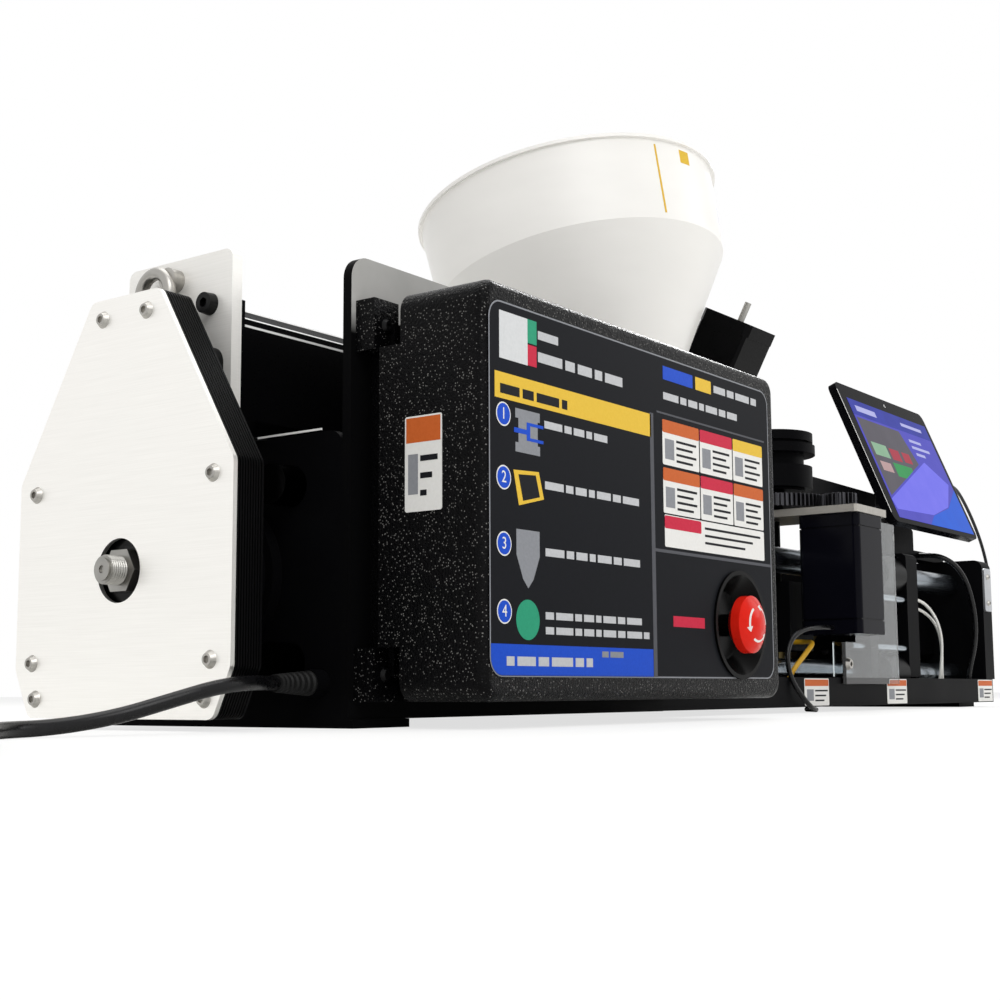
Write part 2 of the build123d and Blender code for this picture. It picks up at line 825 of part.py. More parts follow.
# A spur gear outline with straight-sided teeth, one tooth centred at the given turn in degrees
def gear_face(teeth, turn):
    pitch_r = gear_module * teeth / 2
    tip_r = pitch_r + gear_addendum_share * gear_module
    root_r = pitch_r - gear_dedendum_share * gear_module
    step = 2 * pi / teeth
    points = []
    for i in range(teeth):
        middle = radians(turn) + i * step
        for r, share in ((root_r, -gear_root_share), (tip_r, -gear_tip_share),
                         (tip_r, gear_tip_share), (root_r, gear_root_share)):
            angle = middle + share * step / 2
            points.append((r * cos(angle), r * sin(angle)))
    return make_face(Polyline(*points, close=True))


def valve_gear():
    face = gear_face(gear_teeth, degrees(pi / gear_teeth - pi / 2))
    face -= Circle(valve_stem_r + run_fit)
    face -= PolarLocations(gear_hole_at, gear_hole_count) * Circle(gear_hole_r)
    return extrude(Pos(valve_x, valve_stem_y, gear_z0) * face, amount=gear_w)


def valve_pinion():
    face = gear_face(pinion_teeth, degrees(pi / 2))
    body = extrude(Pos(valve_x, valve_motor_y, gear_z0) * face, amount=gear_w)
    deep_z = valve_plate_z0 - valve_shaft_deep + air_gap
    return body + rod_z(valve_x, valve_motor_y, deep_z, gear_z0, valve_shaft_r)


def valve_stem():
    foot_z = valve_z1 - valve_stem_seat
    washer_z = valve_plate_z1 + air_gap
    hub_z = gear_z1 + hub_collar_h
    disc_z = hub_z + hub_h
    groove_z = disc_z + hub_disc_t
    cap_z = groove_z + hub_groove_t
    top_z = cap_z + hub_disc_t
    points = [
        (0, foot_z), (valve_stem_r, foot_z), (valve_stem_r, washer_z), (stem_washer_r, washer_z),
        (stem_washer_r, gear_z0), (valve_stem_r, gear_z0), (valve_stem_r, gear_z1), (hub_collar_r, gear_z1),
        (hub_collar_r, hub_z), (hub_r, hub_z), (hub_r, disc_z), (hub_disc_r, disc_z), (hub_disc_r, groove_z),
        (hub_groove_r, groove_z), (hub_groove_r, cap_z), (hub_cap_r, cap_z), (hub_cap_r, top_z), (0, top_z),
    ]
    return Pos(valve_x, valve_stem_y, 0) * turned(points)


def valve_lever():
    outline = [
        (0, -lever_root_w / 2),
        (lever_len, -lever_tip_w / 2),
        (lever_len, lever_tip_w / 2),
        (0, lever_root_w / 2),
    ]
    face = make_face(Polyline(*outline, close=True)) + Circle(lever_ring_r)
    face += Pos(lever_len, 0) * Circle(lever_tip_w / 2)
    body = extrude(face - Circle(hub_r + run_fit), amount=lever_t)
    return Pos(valve_x, valve_stem_y, gear_z1 + hub_collar_h + lever_lift) * body


# Mould space
def mould_holes(x0, x1):
    half = mould_bolt_half
    places = [(y, z) for y in (-half, half) for z in (axis_z - half, axis_z + half)]
    return [rod_x(x0 - cut_over, x1 + cut_over, y, z, mould_bolt_r) for y, z in places]


def pin_places():
    return [(y, axis_z + z) for y in (-pin_y, pin_y) for z in (-pin_half_z, pin_half_z)]


def fixed_platen():
    face = round_top(-mould_half_w, mould_half_w, bed_z1, fixed_top_z, moving_corner_r)
    body = plate_x(fixed_x0, fixed_x1, face)
    body -= tie_holes(fixed_x0, fixed_x1)
    body -= mould_holes(fixed_x0, fixed_x1)
    for y, z in pin_places():
        body -= rod_x(fixed_x0 - cut_over, fixed_x1 + cut_over, y, z, pin_r + run_fit)
    return body - rod_x(fixed_x0 - cut_over, fixed_x1 + cut_over, 0, axis_z, nozzle_hole_r)


def moving_platen():
    face = round_top(-moving_half_w, moving_half_w, moving_z0, moving_top_z, moving_corner_r)
    body = plate_x(moving_x0, moving_x1, face)
    body -= tie_holes(moving_x0, moving_x1)
    return body - mould_holes(moving_x0, moving_x1)


def platen_bushes():
    parts = []
    for y, z in tie_places():
        parts.append(rod_x(moving_x0 - bush_len, moving_x0, y, z, bush_r))
        parts.append(rod_x(moving_x1, moving_x1 + bush_flange_t, y, z, bush_flange_r))
    return (Part() + parts) - tie_holes(moving_x0 - bush_len, moving_x1 + bush_flange_t)


def guide_pins():
    return Part() + [rod_x(moving_x0 - pin_len, moving_x0, y, z, pin_r) for y, z in pin_places()]


def clamp_rod():
    return rod_x(moving_x1, end_platen_x1, 0, axis_z, clamp_rod_r)


def clamp_motor():
    half = clamp_motor_half
    x0 = end_platen_x0 - clamp_motor_len
    body = block(x0, end_platen_x0, -half, half, axis_z - half, axis_z + half)
    body = chamfer(body.edges().filter_by(Axis.X), clamp_motor_chamfer)
    return body - rod_x(x0 - cut_over, end_platen_x0 + cut_over, 0, axis_z, clamp_rod_r + run_fit)


def guard():
    y0 = -platen_half_w - guard_t
    x0 = valve_x + valve_motor_half + guard_motor_gap
    x1 = fixed_x1 + guard_end_past
    foot_x0 = x0 - guard_foot_len
    foot_z1 = valve_plate_z0 - valve_motor_len - guard_foot_drop
    outline = [
        (foot_x0, guard_z0),
        (x1, guard_z0),
        (x1, guard_top_z),
        (x0, guard_top_z),
        (x0, foot_z1),
        (foot_x0, foot_z1),
    ]
    body = plate_y(y0, -platen_half_w, make_face(Polyline(*outline, close=True)))
    body += block(foot_x0, foot_x0 + guard_t, y0, y0 + guard_return, rail_top_z + guard_rest, foot_z1)
    bend = body.edges().filter_by(Axis.Z).sort_by(Axis.X)[0:2].sort_by(Axis.Y)[0]
    return fillet(bend, guard_t - air_gap)


# Control box
def mounting_plate():
    face = round_top(
        platen_x0, platen_x0 + mount_plate_len, foot_t, mount_plate_top_z, mount_plate_corner_r
    )
    return plate_y(mount_plate_y0, -platen_half_w, face)


# The four back corners of the box as cut blocks, grown by a margin
def box_corners(y0, y1, margin):
    blocks = []
    for x0, x1 in ((box_x0 - cut_over, box_x0 + box_foot_w), (box_x1 - box_foot_w, box_x1 + cut_over)):
        for z0, z1 in ((box_z0 - cut_over, box_z0 + box_foot_h), (box_z1 - box_foot_h, box_z1 + cut_over)):
            blocks.append(block(x0 - margin, x1 + margin, y0 - margin, y1, z0 - margin, z1 + margin))
    return blocks


def box_face(inset):
    face = RectangleRounded(box_len - 2 * inset, box_h - 2 * inset, box_corner_r - inset)
    return Pos((box_x0 + box_x1) / 2, (box_z0 + box_z1) / 2) * face


def box_shell():
    body = plate_y(box_front_y, box_back_y, box_face(0))
    front = body.faces().sort_by(Axis.Y)[0]
    body = fillet(front.edges(), box_edge_r)
    notch_y0 = box_back_y - box_notch_depth
    cavity = plate_y(box_front_y + box_wall, box_back_y + cut_over, box_face(box_wall))
    cavity -= box_corners(notch_y0, box_back_y + 2 * cut_over, box_wall)
    body -= cavity
    body -= box_corners(notch_y0, box_back_y + cut_over, 0)
    return body - rod_y(estop_x, box_front_y - cut_over, box_front_y + 2 * box_wall, estop_z, estop_body_r)


def box_back():
    inset = box_back_inset
    body = block(
        box_x0 + inset, box_x1 - inset, box_back_y, mount_plate_y0, box_z0 + inset, box_z1 - inset
    )
    foot_y0 = mount_plate_y0 - box_foot_depth
    for x0, x1 in ((box_x0, box_x0 + box_foot_w), (box_x1 - box_foot_w, box_x1)):
        for z0, z1 in ((box_z0, box_z0 + box_foot_h), (box_z1 - box_foot_h, box_z1)):
            body += block(x0, x1, foot_y0, mount_plate_y0, z0, z1)
    return body


def estop_frame():
    return Plane(origin=(estop_x, box_front_y, estop_z), x_dir=(1, 0, 0), z_dir=(0, -1, 0))


def estop_collar():
    floor_z = -estop_dish_deep
    back_z = floor_z - estop_floor_t
    bore = estop_stem_r + run_fit
    points = [
        (bore, back_z), (estop_body_r - air_gap, back_z), (estop_body_r - air_gap, 0), (estop_rim_r, 0),
        (estop_rim_r, estop_rim_t), (estop_dish_r, estop_rim_t), (estop_floor_r, floor_z), (bore, floor_z),
    ]
    return estop_frame() * turned(points)


def estop_stem():
    top = estop_head_lift - estop_dish_deep + estop_floor_t / 2
    return estop_frame() * Pos(0, 0, top - estop_stem_len / 2) * Cylinder(estop_stem_r, estop_stem_len)


def estop_head():
    base = estop_head_lift - estop_dish_deep + estop_floor_t / 2
    top = base + estop_head_t
    flare_z = base + estop_head_flare
    points = [(0, base), (estop_neck_r, base), (estop_head_r, flare_z), (estop_head_r, top), (0, top)]
    dome_r = (estop_head_r ** 2 + estop_head_dome ** 2) / (2 * estop_head_dome)
    return estop_frame() * (turned(points) & Pos(0, 0, top - dome_r) * Sphere(dome_r))


# Tablet
def tablet():
    face = RectangleRounded(tablet_w, tablet_h, tablet_corner_r)
    body = extrude(Pos(0, 0, -tablet_t) * face, amount=tablet_t)
    return tablet_frame * body


def tablet_bracket():
    side = 2 * bracket_half
    back = -tablet_t - bracket_t
    body = Pos(0, 0, back + bracket_t / 2) * Box(side, side, bracket_t)
    inner = pivot_ear_half + air_gap
    cheek_deep = pivot_back + back
    for sign in (-1, 1):
        x = sign * (inner + bracket_cheek_t / 2)
        body += Pos(x, 0, back - cheek_deep / 2) * Box(bracket_cheek_t, 2 * pivot_ear_r, cheek_deep)
        body += Pos(x, 0, -pivot_back) * Rot(0, 90, 0) * Cylinder(pivot_ear_r, bracket_cheek_t)
    pin_len_x = 2 * (inner + bracket_cheek_t)
    body += Pos(0, 0, -pivot_back) * Rot(0, 90, 0) * Cylinder(pivot_pin_r, pin_len_x)
    return tablet_frame * body


def tablet_arm():
    y0 = pivot_point.Y - arm_front
    y1 = pivot_point.Y + arm_back
    x0 = tablet_x - pivot_ear_half
    x1 = tablet_x + pivot_ear_half
    heel_x = tablet_x - arm_heel
    toe_x = tablet_x + arm_toe
    bar_z0 = end_platen_top_z
    bar_z1 = bar_z0 + arm_t
    shoulder_z = bar_z1 + arm_shoulder_h
    neck_z = bar_z1 + arm_neck_h
    outline = [
        (heel_x, bar_z0),
        (end_platen_x1, bar_z0),
        (end_platen_x1, bar_z1),
        (toe_x, bar_z1),
        (toe_x, shoulder_z),
        (x1, neck_z),
        (x1, pivot_point.Z),
        (x0, pivot_point.Z),
        (x0, neck_z),
        (heel_x, shoulder_z),
    ]
    body = plate_y(y0, y1, make_face(Polyline(*outline, close=True)))
    body += rod_x(x0, x1, pivot_point.Y, pivot_point.Z, pivot_ear_r)
    return body - rod_x(x0 - cut_over, x1 + cut_over, pivot_point.Y, pivot_point.Z, pivot_pin_r + run_fit)


# Cords: straight runs joined by tangent arcs, each as large as its two runs allow
def cord_radii(route):
    places = [Vector(*p) for p in route]
    radii = []
    for before, here, after in zip(places, places[1:], places[2:]):
        turn = (here - before).get_angle(after - here)
        shorter = min((here - before).length, (after - here).length)
        radii.append(0.45 * shorter / tan(radians(turn / 2)))
    return radii


def cord(name, route, diameter):
    radii = cord_radii(route)
    print(name, "smallest bend in diameters", round(min(radii) / diameter, 1))
    path = FilletPolyline(*route, radius=radii)
    start = Plane(origin=path @ 0, z_dir=path % 0)
    tube = sweep(start * Circle(diameter / 2), path=path)
    print(name, "volume against length", round(tube.volume / (pi * diameter ** 2 / 4 * path.length), 4))
    return tube


# The hand-drawn points of a cord, set out from the part it leaves
def along(x, way):
    return [(x + dx, y, z) for dx, y, z in way]


def power_cord_route():
    x0 = platen_x0 - relief_len
    lead = [(x0, relief_y, relief_z), (x0 - cord_lead, relief_y, relief_z)]
    return lead + along(platen_x0, power_cord_way)


def tablet_cable_route():
    edge = tablet_frame.from_local_coords(Vector(tablet_w / 2, -tablet_cable_drop, -tablet_t / 2))
    lead = [(edge.X, edge.Y, edge.Z), (edge.X + cord_lead, edge.Y, edge.Z)]
    return lead + along(end_platen_x1, tablet_cable_way)


def signal_cable_route():
    x = end_platen_x0 + signal_cable_x
    y = pivot_point.Y - arm_front
    z = end_platen_top_z + arm_t / 2
    lead = [(x, y, z), (x, y - cord_lead + signal_cable_d / 2, z)]
    way = along(end_platen_x0, signal_cable_way)
    return lead + way + [(way[-1][0], way[-1][1], bed_z1)]


def wire_route(start, way):
    lead = [(moving_x1, *start), (moving_x1 + wire_lead, *start)]
    drawn = along(moving_x1, way)
    return lead + drawn + [(drawn[-1][0], drawn[-1][1], bed_z1)]


def valve_cable_route():
    x = valve_x - valve_motor_half
    lead = [(x, valve_cable_y, valve_cable_z), (x - wire_lead, valve_cable_y, valve_cable_z)]
    return lead + along(x, valve_cable_way)


def heater_lead_route():
    x = valve_x + heater_lead_x
    lead = [(x, valve_y0, heater_lead_z), (x, valve_y0 - heater_lead_out, heater_lead_z)]
    drawn = along(valve_x, heater_lead_way)
    return lead + drawn + [(drawn[-1][0], drawn[-1][1], bed_z1)]


# The middle of the ring that the free length of the power cord is wound in
def coil_centre():
    x, y, z = power_cord_route()[-1]
    return x + coil_mid_r, y + coil_lead


# The wound part of the power cord, lying flat on the bench, with the ends that lead into it and out of it
def power_cord_coil():
    x, y, z = power_cord_route()[-1]
    ring_x, ring_y = coil_centre()
    outer = coil_mid_r + power_cord_d
    inner = coil_mid_r - power_cord_d
    ring = extrude(Pos(ring_x, ring_y, air_gap) * (Circle(outer) - Circle(inner)), amount=2 * power_cord_d)
    ring += rod_y(x, y, ring_y, z, power_cord_d / 2)
    return ring + rod_x(ring_x, ring_x + coil_tail, ring_y + coil_mid_r, plug_h / 2, power_cord_d / 2)


def power_plug():
    ring_x, ring_y = coil_centre()
    plug_y = ring_y + coil_mid_r
    plug_x0 = ring_x + coil_tail
    plug_x1 = plug_x0 + plug_len
    body = block(plug_x0, plug_x1, plug_y - plug_w / 2, plug_y + plug_w / 2, 0, plug_h)
    body = fillet(body.edges().filter_by(Axis.X), power_cord_d / 2)
    for sign in (-1, 1):
        blade_y = plug_y + sign * plug_blade_half_gap
        body += block(
            plug_x1, plug_x1 + plug_blade_len, blade_y - plug_blade_t / 2, blade_y + plug_blade_t / 2,
            (plug_h - plug_blade_w) / 2, (plug_h + plug_blade_w) / 2,
        )
    return body


nodes = {
    "foot_plate_drive": foot_plate(platen_x0, foot_half_w),
    "foot_plate_mould": foot_plate(rail_x1 - mould_foot_inset - foot_len, mould_foot_half_w),
    "rail_front": bed_rail(-1),
    "rail_rear": bed_rail(1),
    "bed_plate": bed_plate(),
    "rear_platen": rear_platen(),
    "end_platen": end_platen(),
    "tie_bars": tie_bars(),
    "belt_cover": belt_cover(),
    "belt_housing": belt_housing(),
    "end_plate": end_plate(),
    "bearing_housing": bearing_housing(),
    "lifting_eye": lifting_eye(),
    "injection_motor": injection_motor(),
    "drive_belt": drive_belt(),
    "ball_screw": ball_screw(),
    "screw_pulley": screw_pulley(),
    "motor_pulley": motor_pulley(),
    "crosshead": crosshead(),
    "plunger": plunger(),
    "barrel_carrier": barrel_carrier(),
    "barrel": barrel(),
    "heater_bands": heater_bands(),
    "feed_block": feed_block(),
    "hopper": hopper(),
    "hopper_collar": hopper_collar(),
    "feed_motor": feed_motor(),
    "auger": auger(),
    "valve_block": valve_block(),
    "valve_plate": valve_plate(),
    "valve_motor": valve_motor(),
    "valve_gear": valve_gear(),
    "valve_pinion": valve_pinion(),
    "valve_stem": valve_stem(),
    "valve_lever": valve_lever(),
    "fixed_platen": fixed_platen(),
    "moving_platen": moving_platen(),
    "platen_bushes": platen_bushes(),
    "guide_pins": guide_pins(),
    "clamp_rod": clamp_rod(),
    "clamp_motor": clamp_motor(),
    "guard": guard(),
    "mounting_plate": mounting_plate(),
    "box_shell": box_shell(),
    "box_back": box_back(),
    "estop_collar": estop_collar(),
    "estop_stem": estop_stem(),
    "estop_head": estop_head(),
    "tablet": tablet(),
    "tablet_bracket": tablet_bracket(),
    "tablet_arm": tablet_arm(),
    "power_cord": cord("power_cord", power_cord_route(), power_cord_d),
    "power_cord_coil": power_cord_coil(),
    "power_plug": power_plug(),
    "tablet_cable": cord("tablet_cable", tablet_cable_route(), tablet_cable_d),
    "signal_cable": cord("signal_cable", signal_cable_route(), signal_cable_d),
    "sensor_wire_near": cord("sensor_wire_near", wire_route(wire_starts[0], wire_ways[0]), wire_d),
    "sensor_wire_far": cord("sensor_wire_far", wire_route(wire_starts[1], wire_ways[1]), wire_d),
    "valve_cable": cord("valve_cable", valve_cable_route(), valve_cable_d),
    "heater_lead": cord("heater_lead", heater_lead_route(), heater_lead_d),
}

os.makedirs("parts", exist_ok=True)
for name, shape in nodes.items():
    export_step(shape, f"parts/{name}.step")
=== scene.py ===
import math

import bmesh
import bpy
from mathutils import Matrix, Vector


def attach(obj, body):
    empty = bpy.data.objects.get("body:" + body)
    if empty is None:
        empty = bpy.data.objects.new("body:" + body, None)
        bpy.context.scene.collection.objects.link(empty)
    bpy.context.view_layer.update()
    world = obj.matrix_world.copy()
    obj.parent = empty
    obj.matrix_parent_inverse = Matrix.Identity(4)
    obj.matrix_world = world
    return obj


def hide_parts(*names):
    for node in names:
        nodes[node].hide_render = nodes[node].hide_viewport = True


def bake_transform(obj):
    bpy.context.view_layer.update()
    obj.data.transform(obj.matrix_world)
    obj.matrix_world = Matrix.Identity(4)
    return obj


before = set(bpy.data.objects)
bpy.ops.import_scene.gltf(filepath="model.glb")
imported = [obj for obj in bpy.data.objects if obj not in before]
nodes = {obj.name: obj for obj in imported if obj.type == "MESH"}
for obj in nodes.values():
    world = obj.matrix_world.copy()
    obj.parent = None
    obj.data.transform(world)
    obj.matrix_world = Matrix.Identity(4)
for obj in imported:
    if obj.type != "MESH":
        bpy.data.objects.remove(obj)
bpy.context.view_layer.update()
mm = 0.001
print("frame loaded,", len(nodes), "nodes")


# colours are written as sRGB hex and turned to linear here
def hexColour(text):
    parts = [int(text[i:i + 2], 16) / 255 for i in (1, 3, 5)]
    return tuple(c / 12.92 if c <= 0.04045 else ((c + 0.055) / 1.055) ** 2.4 for c in parts) + (1.0,)


# adds one node with its settings, input values and links
def addNode(tree, kind, values=None, links=None, **settings):
    node = tree.nodes.new(kind)
    for key, value in settings.items():
        setattr(node, key, value)
    for key, value in (values or {}).items():
        node.inputs[key].default_value = value
    for key, source in (links or {}).items():
        tree.links.new(source, node.inputs[key])
    return node


def newMaterial(name, colour, rough, metal=0.0, **sockets):
    mat = bpy.data.materials.new(name)
    mat.use_nodes = True
    tree = mat.node_tree
    shader = tree.nodes["Principled BSDF"]
    shader.inputs["Base Color"].default_value = hexColour(colour)
    shader.inputs["Roughness"].default_value = rough
    shader.inputs["Metallic"].default_value = metal
    for key, value in sockets.items():
        shader.inputs[key.replace("_", " ")].default_value = value
    mat.diffuse_color = hexColour(colour)
    return mat, tree, shader


# a pattern on Object coordinates, its feature size given in millimetres along each axis
def sizedNoise(tree, sizes, detail=3.0, kind="ShaderNodeTexNoise"):
    coords = addNode(tree, "ShaderNodeTexCoord")
    scale = [1.0 / (s * mm) for s in sizes]
    place = addNode(tree, "ShaderNodeMapping", {"Scale": scale}, {"Vector": coords.outputs["Object"]})
    values = {"Scale": 1.0, "Detail": detail} if kind == "ShaderNodeTexNoise" else {"Scale": 1.0}
    return addNode(tree, kind, values, {"Vector": place.outputs["Vector"]})


# lets a pattern's value set a finish's colour, roughness and height, each where it is given
def followPattern(tree, shader, value, colours=None, rough=None, bump=None, paint="Base Color"):
    if colours:
        mix = addNode(tree, "ShaderNodeMix", {6: hexColour(colours[0]), 7: hexColour(colours[1])}, {0: value},
                      data_type="RGBA")
        tree.links.new(mix.outputs[2], shader.inputs[paint])
    if rough:
        ramp = addNode(tree, "ShaderNodeMapRange", {"To Min": rough[0], "To Max": rough[1]}, {"Value": value})
        tree.links.new(ramp.outputs["Result"], shader.inputs["Roughness"])
    if bump:
        strength, depthMm = bump
        relief = addNode(tree, "ShaderNodeBump", {"Strength": strength, "Distance": depthMm * mm}, {"Height": value})
        tree.links.new(relief.outputs["Normal"], shader.inputs["Normal"])


# a finish whose colour and roughness both follow one pattern, and its surface too where a bump is given
def patterned(name, colours, sizes, detail, rough, metal=0.0, bump=None, **sockets):
    mat, tree, shader = newMaterial(name, colours[0], rough[0], metal, **sockets)
    followPattern(tree, shader, sizedNoise(tree, sizes, detail).outputs["Fac"], colours, rough, bump)
    return mat


def brushedStainless(name="brushedStainless", metal=1.0):
    # rolled stainless sheet, ground in one direction: pale and soft, with fine streaks across
    return patterned(name, ("#EFEDE8", "#FEFCF8"), (6.0, 46.0, 0.5), 4.0, (0.32, 0.46), metal, (0.1, 0.04),
                     Anisotropic=0.3)


def anodisedBlack(name="anodisedBlack", colour="#060607", edge="#0D0D0F", rough=0.42, gloss=0.02):
    # black anodised plate: satin, with a faint bead-blasted grain and slightly paler rubbed patches
    mat, tree, shader = newMaterial(name, colour, rough, 0.0, Specular_IOR_Level=gloss)
    grain = sizedNoise(tree, (0.7, 0.7, 0.7), 2.0)
    cloud = sizedNoise(tree, (60.0, 60.0, 60.0), 3.0)
    followPattern(tree, shader, cloud.outputs["Fac"], (colour, edge), (rough - 0.06, rough + 0.08))
    followPattern(tree, shader, grain.outputs["Fac"], bump=(0.18, 0.04))
    return mat


# rises from 0 to 1 along one axis of the object, between two places in millimetres
def rampAlong(tree, axis, first, last):
    coords = addNode(tree, "ShaderNodeTexCoord")
    split = addNode(tree, "ShaderNodeSeparateXYZ", None, {"Vector": coords.outputs["Object"]})
    ramp = addNode(tree, "ShaderNodeMapRange", {"From Min": first * mm, "From Max": last * mm},
                   {"Value": split.outputs[axis]})
    return ramp.outputs["Result"]


def groundBar():
    # induction-hardened ground bar: bright steel with a fine turned lay round it, and painted shade that turns it
    # black at its drive end
    mat, tree, shader = newMaterial("groundBar", "#7F868E", 0.2, 1.0)
    lay = sizedNoise(tree, (0.8, 30.0, 30.0), 2.0)
    unshaded = addNode(tree, "ShaderNodeMix", {6: hexColour("#6C747D"), 7: hexColour("#98A0A7")}, {0: lay.outputs["Fac"]},
                   data_type="RGBA")
    shadedEnd = (330, 360)  # where the painted shade fades out along the bar, mm
    # painted shade: near-black towards the drive end, bare steel colour beyond
    mix = addNode(tree, "ShaderNodeMix", {6: hexColour("#0D0D0E")},
                  {0: rampAlong(tree, "X", *shadedEnd), 7: unshaded.outputs[2]}, data_type="RGBA")
    tree.links.new(mix.outputs[2], shader.inputs["Base Color"])
    followPattern(tree, shader, lay.outputs["Fac"], rough=(0.14, 0.28))
    return mat


def turnedSteel(name="turnedSteel", dark="#7C7B78", pale="#B4B2AD"):
    # plain turned steel: grey, with tool rings a few tenths apart, drawn at 1 mm so that they show
    return patterned(name, (dark, pale), (1.0, 22.0, 22.0), 3.0, (0.26, 0.44), 1.0, (0.15, 0.05))


def millAluminium(name="millAluminium", dark="#9FA1A5", pale="#C6C8CB"):
    # milled aluminium plate: soft grey with faint cutter streaks
    return patterned(name, (dark, pale), (1.6, 40.0, 40.0), 3.0, (0.3, 0.48), 1.0)


def facedPlate():
    # grey metal plate with painted shade: black on its edges and on its front below the box top, where the box shades
    # it; dull grey only on the front above
    mat, tree, shader = newMaterial("facedPlate", "#0A0A0B", 0.45, 0.0, Specular_IOR_Level=0.02)
    coords = addNode(tree, "ShaderNodeTexCoord")
    split = addNode(tree, "ShaderNodeSeparateXYZ", None, {"Vector": coords.outputs["Normal"]})
    facing = -0.6  # a face counts as the front where its normal is below this along Y
    shadeTop = (232, 246)  # where the painted shade below the box top gives way to the grey front, mm
    # painted shade: only front faces above the box top keep the grey, and all else is black
    front = addNode(tree, "ShaderNodeMath", {1: facing}, {0: split.outputs["Y"]}, operation="LESS_THAN")
    unshaded = addNode(tree, "ShaderNodeMath", None,
                   {0: front.outputs["Value"], 1: rampAlong(tree, "Z", *shadeTop)}, operation="MULTIPLY")
    cloud = sizedNoise(tree, (30.0, 30.0, 30.0), 3.0)
    face = addNode(tree, "ShaderNodeMix", {6: hexColour("#A3A29F"), 7: hexColour("#BDBCB9")},
                   {0: cloud.outputs["Fac"]}, data_type="RGBA")
    mix = addNode(tree, "ShaderNodeMix", {6: hexColour("#0A0A0B")}, {0: unshaded.outputs["Value"], 7: face.outputs[2]},
                  data_type="RGBA")
    tree.links.new(mix.outputs[2], shader.inputs["Base Color"])
    followPattern(tree, shader, cloud.outputs["Fac"], rough=(0.38, 0.52))
    return mat


def pebbledAbs():
    # moulded ABS case with a leather-like grain, pebbles about 1.5 mm across, with painted highlights: pale glints on
    # the crowns of some pebbles
    mat, tree, shader = newMaterial("pebbledAbs", "#060607", 0.3, 0.0, IOR=1.53, Specular_IOR_Level=0.06)
    pebble = sizedNoise(tree, (1.5, 1.5, 1.5), kind="ShaderNodeTexVoronoi")
    fine = sizedNoise(tree, (0.8, 0.8, 0.8), 3.0)
    crown = addNode(tree, "ShaderNodeMapRange", {"From Min": 0.1, "From Max": 0.34, "To Min": 1.0, "To Max": 0.0},
                    {"Value": pebble.outputs["Distance"]})
    split = addNode(tree, "ShaderNodeSeparateXYZ", None, {"Vector": pebble.outputs["Color"]})
    unlit = 0.62  # the share of pebbles whose crowns get no painted highlight
    lit = addNode(tree, "ShaderNodeMath", {1: unlit}, {0: split.outputs["X"]}, operation="GREATER_THAN")
    paintedGlint = addNode(tree, "ShaderNodeMath", None, {0: crown.outputs["Result"], 1: lit.outputs["Value"]},
                    operation="MULTIPLY")
    height = addNode(tree, "ShaderNodeMath", None, {0: pebble.outputs["Distance"], 1: fine.outputs["Fac"]},
                     operation="ADD")
    # painted highlight: pale colour on the crowns of the glinting pebbles
    followPattern(tree, shader, paintedGlint.outputs["Value"], ("#060607", "#7E7D7A"))
    followPattern(tree, shader, fine.outputs["Fac"], rough=(0.18, 0.36))
    followPattern(tree, shader, height.outputs["Value"], bump=(0.8, 0.4))
    return mat


def mouldedBlack(name, colour="#070708", rough=0.45, grainMm=0.6, gloss=0.25):
    # plain moulded or lacquered black with a fine texture
    mat, tree, shader = newMaterial(name, colour, rough, 0.0, IOR=1.5, Specular_IOR_Level=gloss)
    grain = sizedNoise(tree, (grainMm,) * 3, 2.0)
    followPattern(tree, shader, grain.outputs["Fac"], rough=(rough - 0.08, rough + 0.08), bump=(0.2, 0.05))
    return mat


def milkyPolythene():
    # moulded polythene hopper: milky white with slow flow clouds and a soft gloss
    return patterned("milkyPolythene", ("#EEECE8", "#F6F4F0"), (70.0, 70.0, 25.0), 2.0, (0.26, 0.4), IOR=1.51,
                     Specular_IOR_Level=0.3)


def clearAcrylic():
    # cast acrylic sheet: clear, slightly cool at its edges
    mat, tree, shader = newMaterial("clearAcrylic", "#F6FBFC", 0.01, 0.0, IOR=1.49, Specular_IOR_Level=0.25)
    shader.inputs["Transmission Weight"].default_value = 1.0
    haze = sizedNoise(tree, (35.0, 35.0, 35.0), 3.0)
    followPattern(tree, shader, haze.outputs["Fac"], rough=(0.0, 0.02))
    return mat


def glossPlastic(name, colour, shade, rough=0.2, gloss=0.5):
    # injection-moulded gloss plastic with faint flow marks
    return patterned(name, (colour, shade), (9.0, 9.0, 9.0), 2.0, (rough - 0.05, rough + 0.08), IOR=1.52,
                     Specular_IOR_Level=gloss)


def cordJacket(name, colour, shade, rough=0.5, gloss=0.35):
    # extruded PVC jacket: satin, with faint flow marks and a dusty bloom
    return patterned(name, (colour, shade), (5.0, 5.0, 5.0), 3.0, (rough - 0.1, rough + 0.1), IOR=1.53,
                     Specular_IOR_Level=gloss)


def printedFilm(name, colour, shade, rough=0.4, gloss=0.25):
    # screen-printed polyester film: flat colour with the faint orange-peel of the over-laminate
    return patterned(name, (colour, shade), (1.6, 1.6, 1.6), 2.0, (rough - 0.06, rough + 0.06), IOR=1.55,
                     Specular_IOR_Level=gloss)


def litScreen(name, colour, shade):
    # a lit display field behind cover glass: dark by itself, and bright by its own light
    mat, tree, shader = newMaterial(name, "#050506", 0.12, 0.0, IOR=1.52, Specular_IOR_Level=0.01)
    wash = sizedNoise(tree, (26.0, 26.0, 26.0), 2.0)
    followPattern(tree, shader, wash.outputs["Fac"], (colour, shade), paint="Emission Color")
    shader.inputs["Emission Strength"].default_value = 1.0
    mat.diffuse_color = hexColour(colour)
    return mat


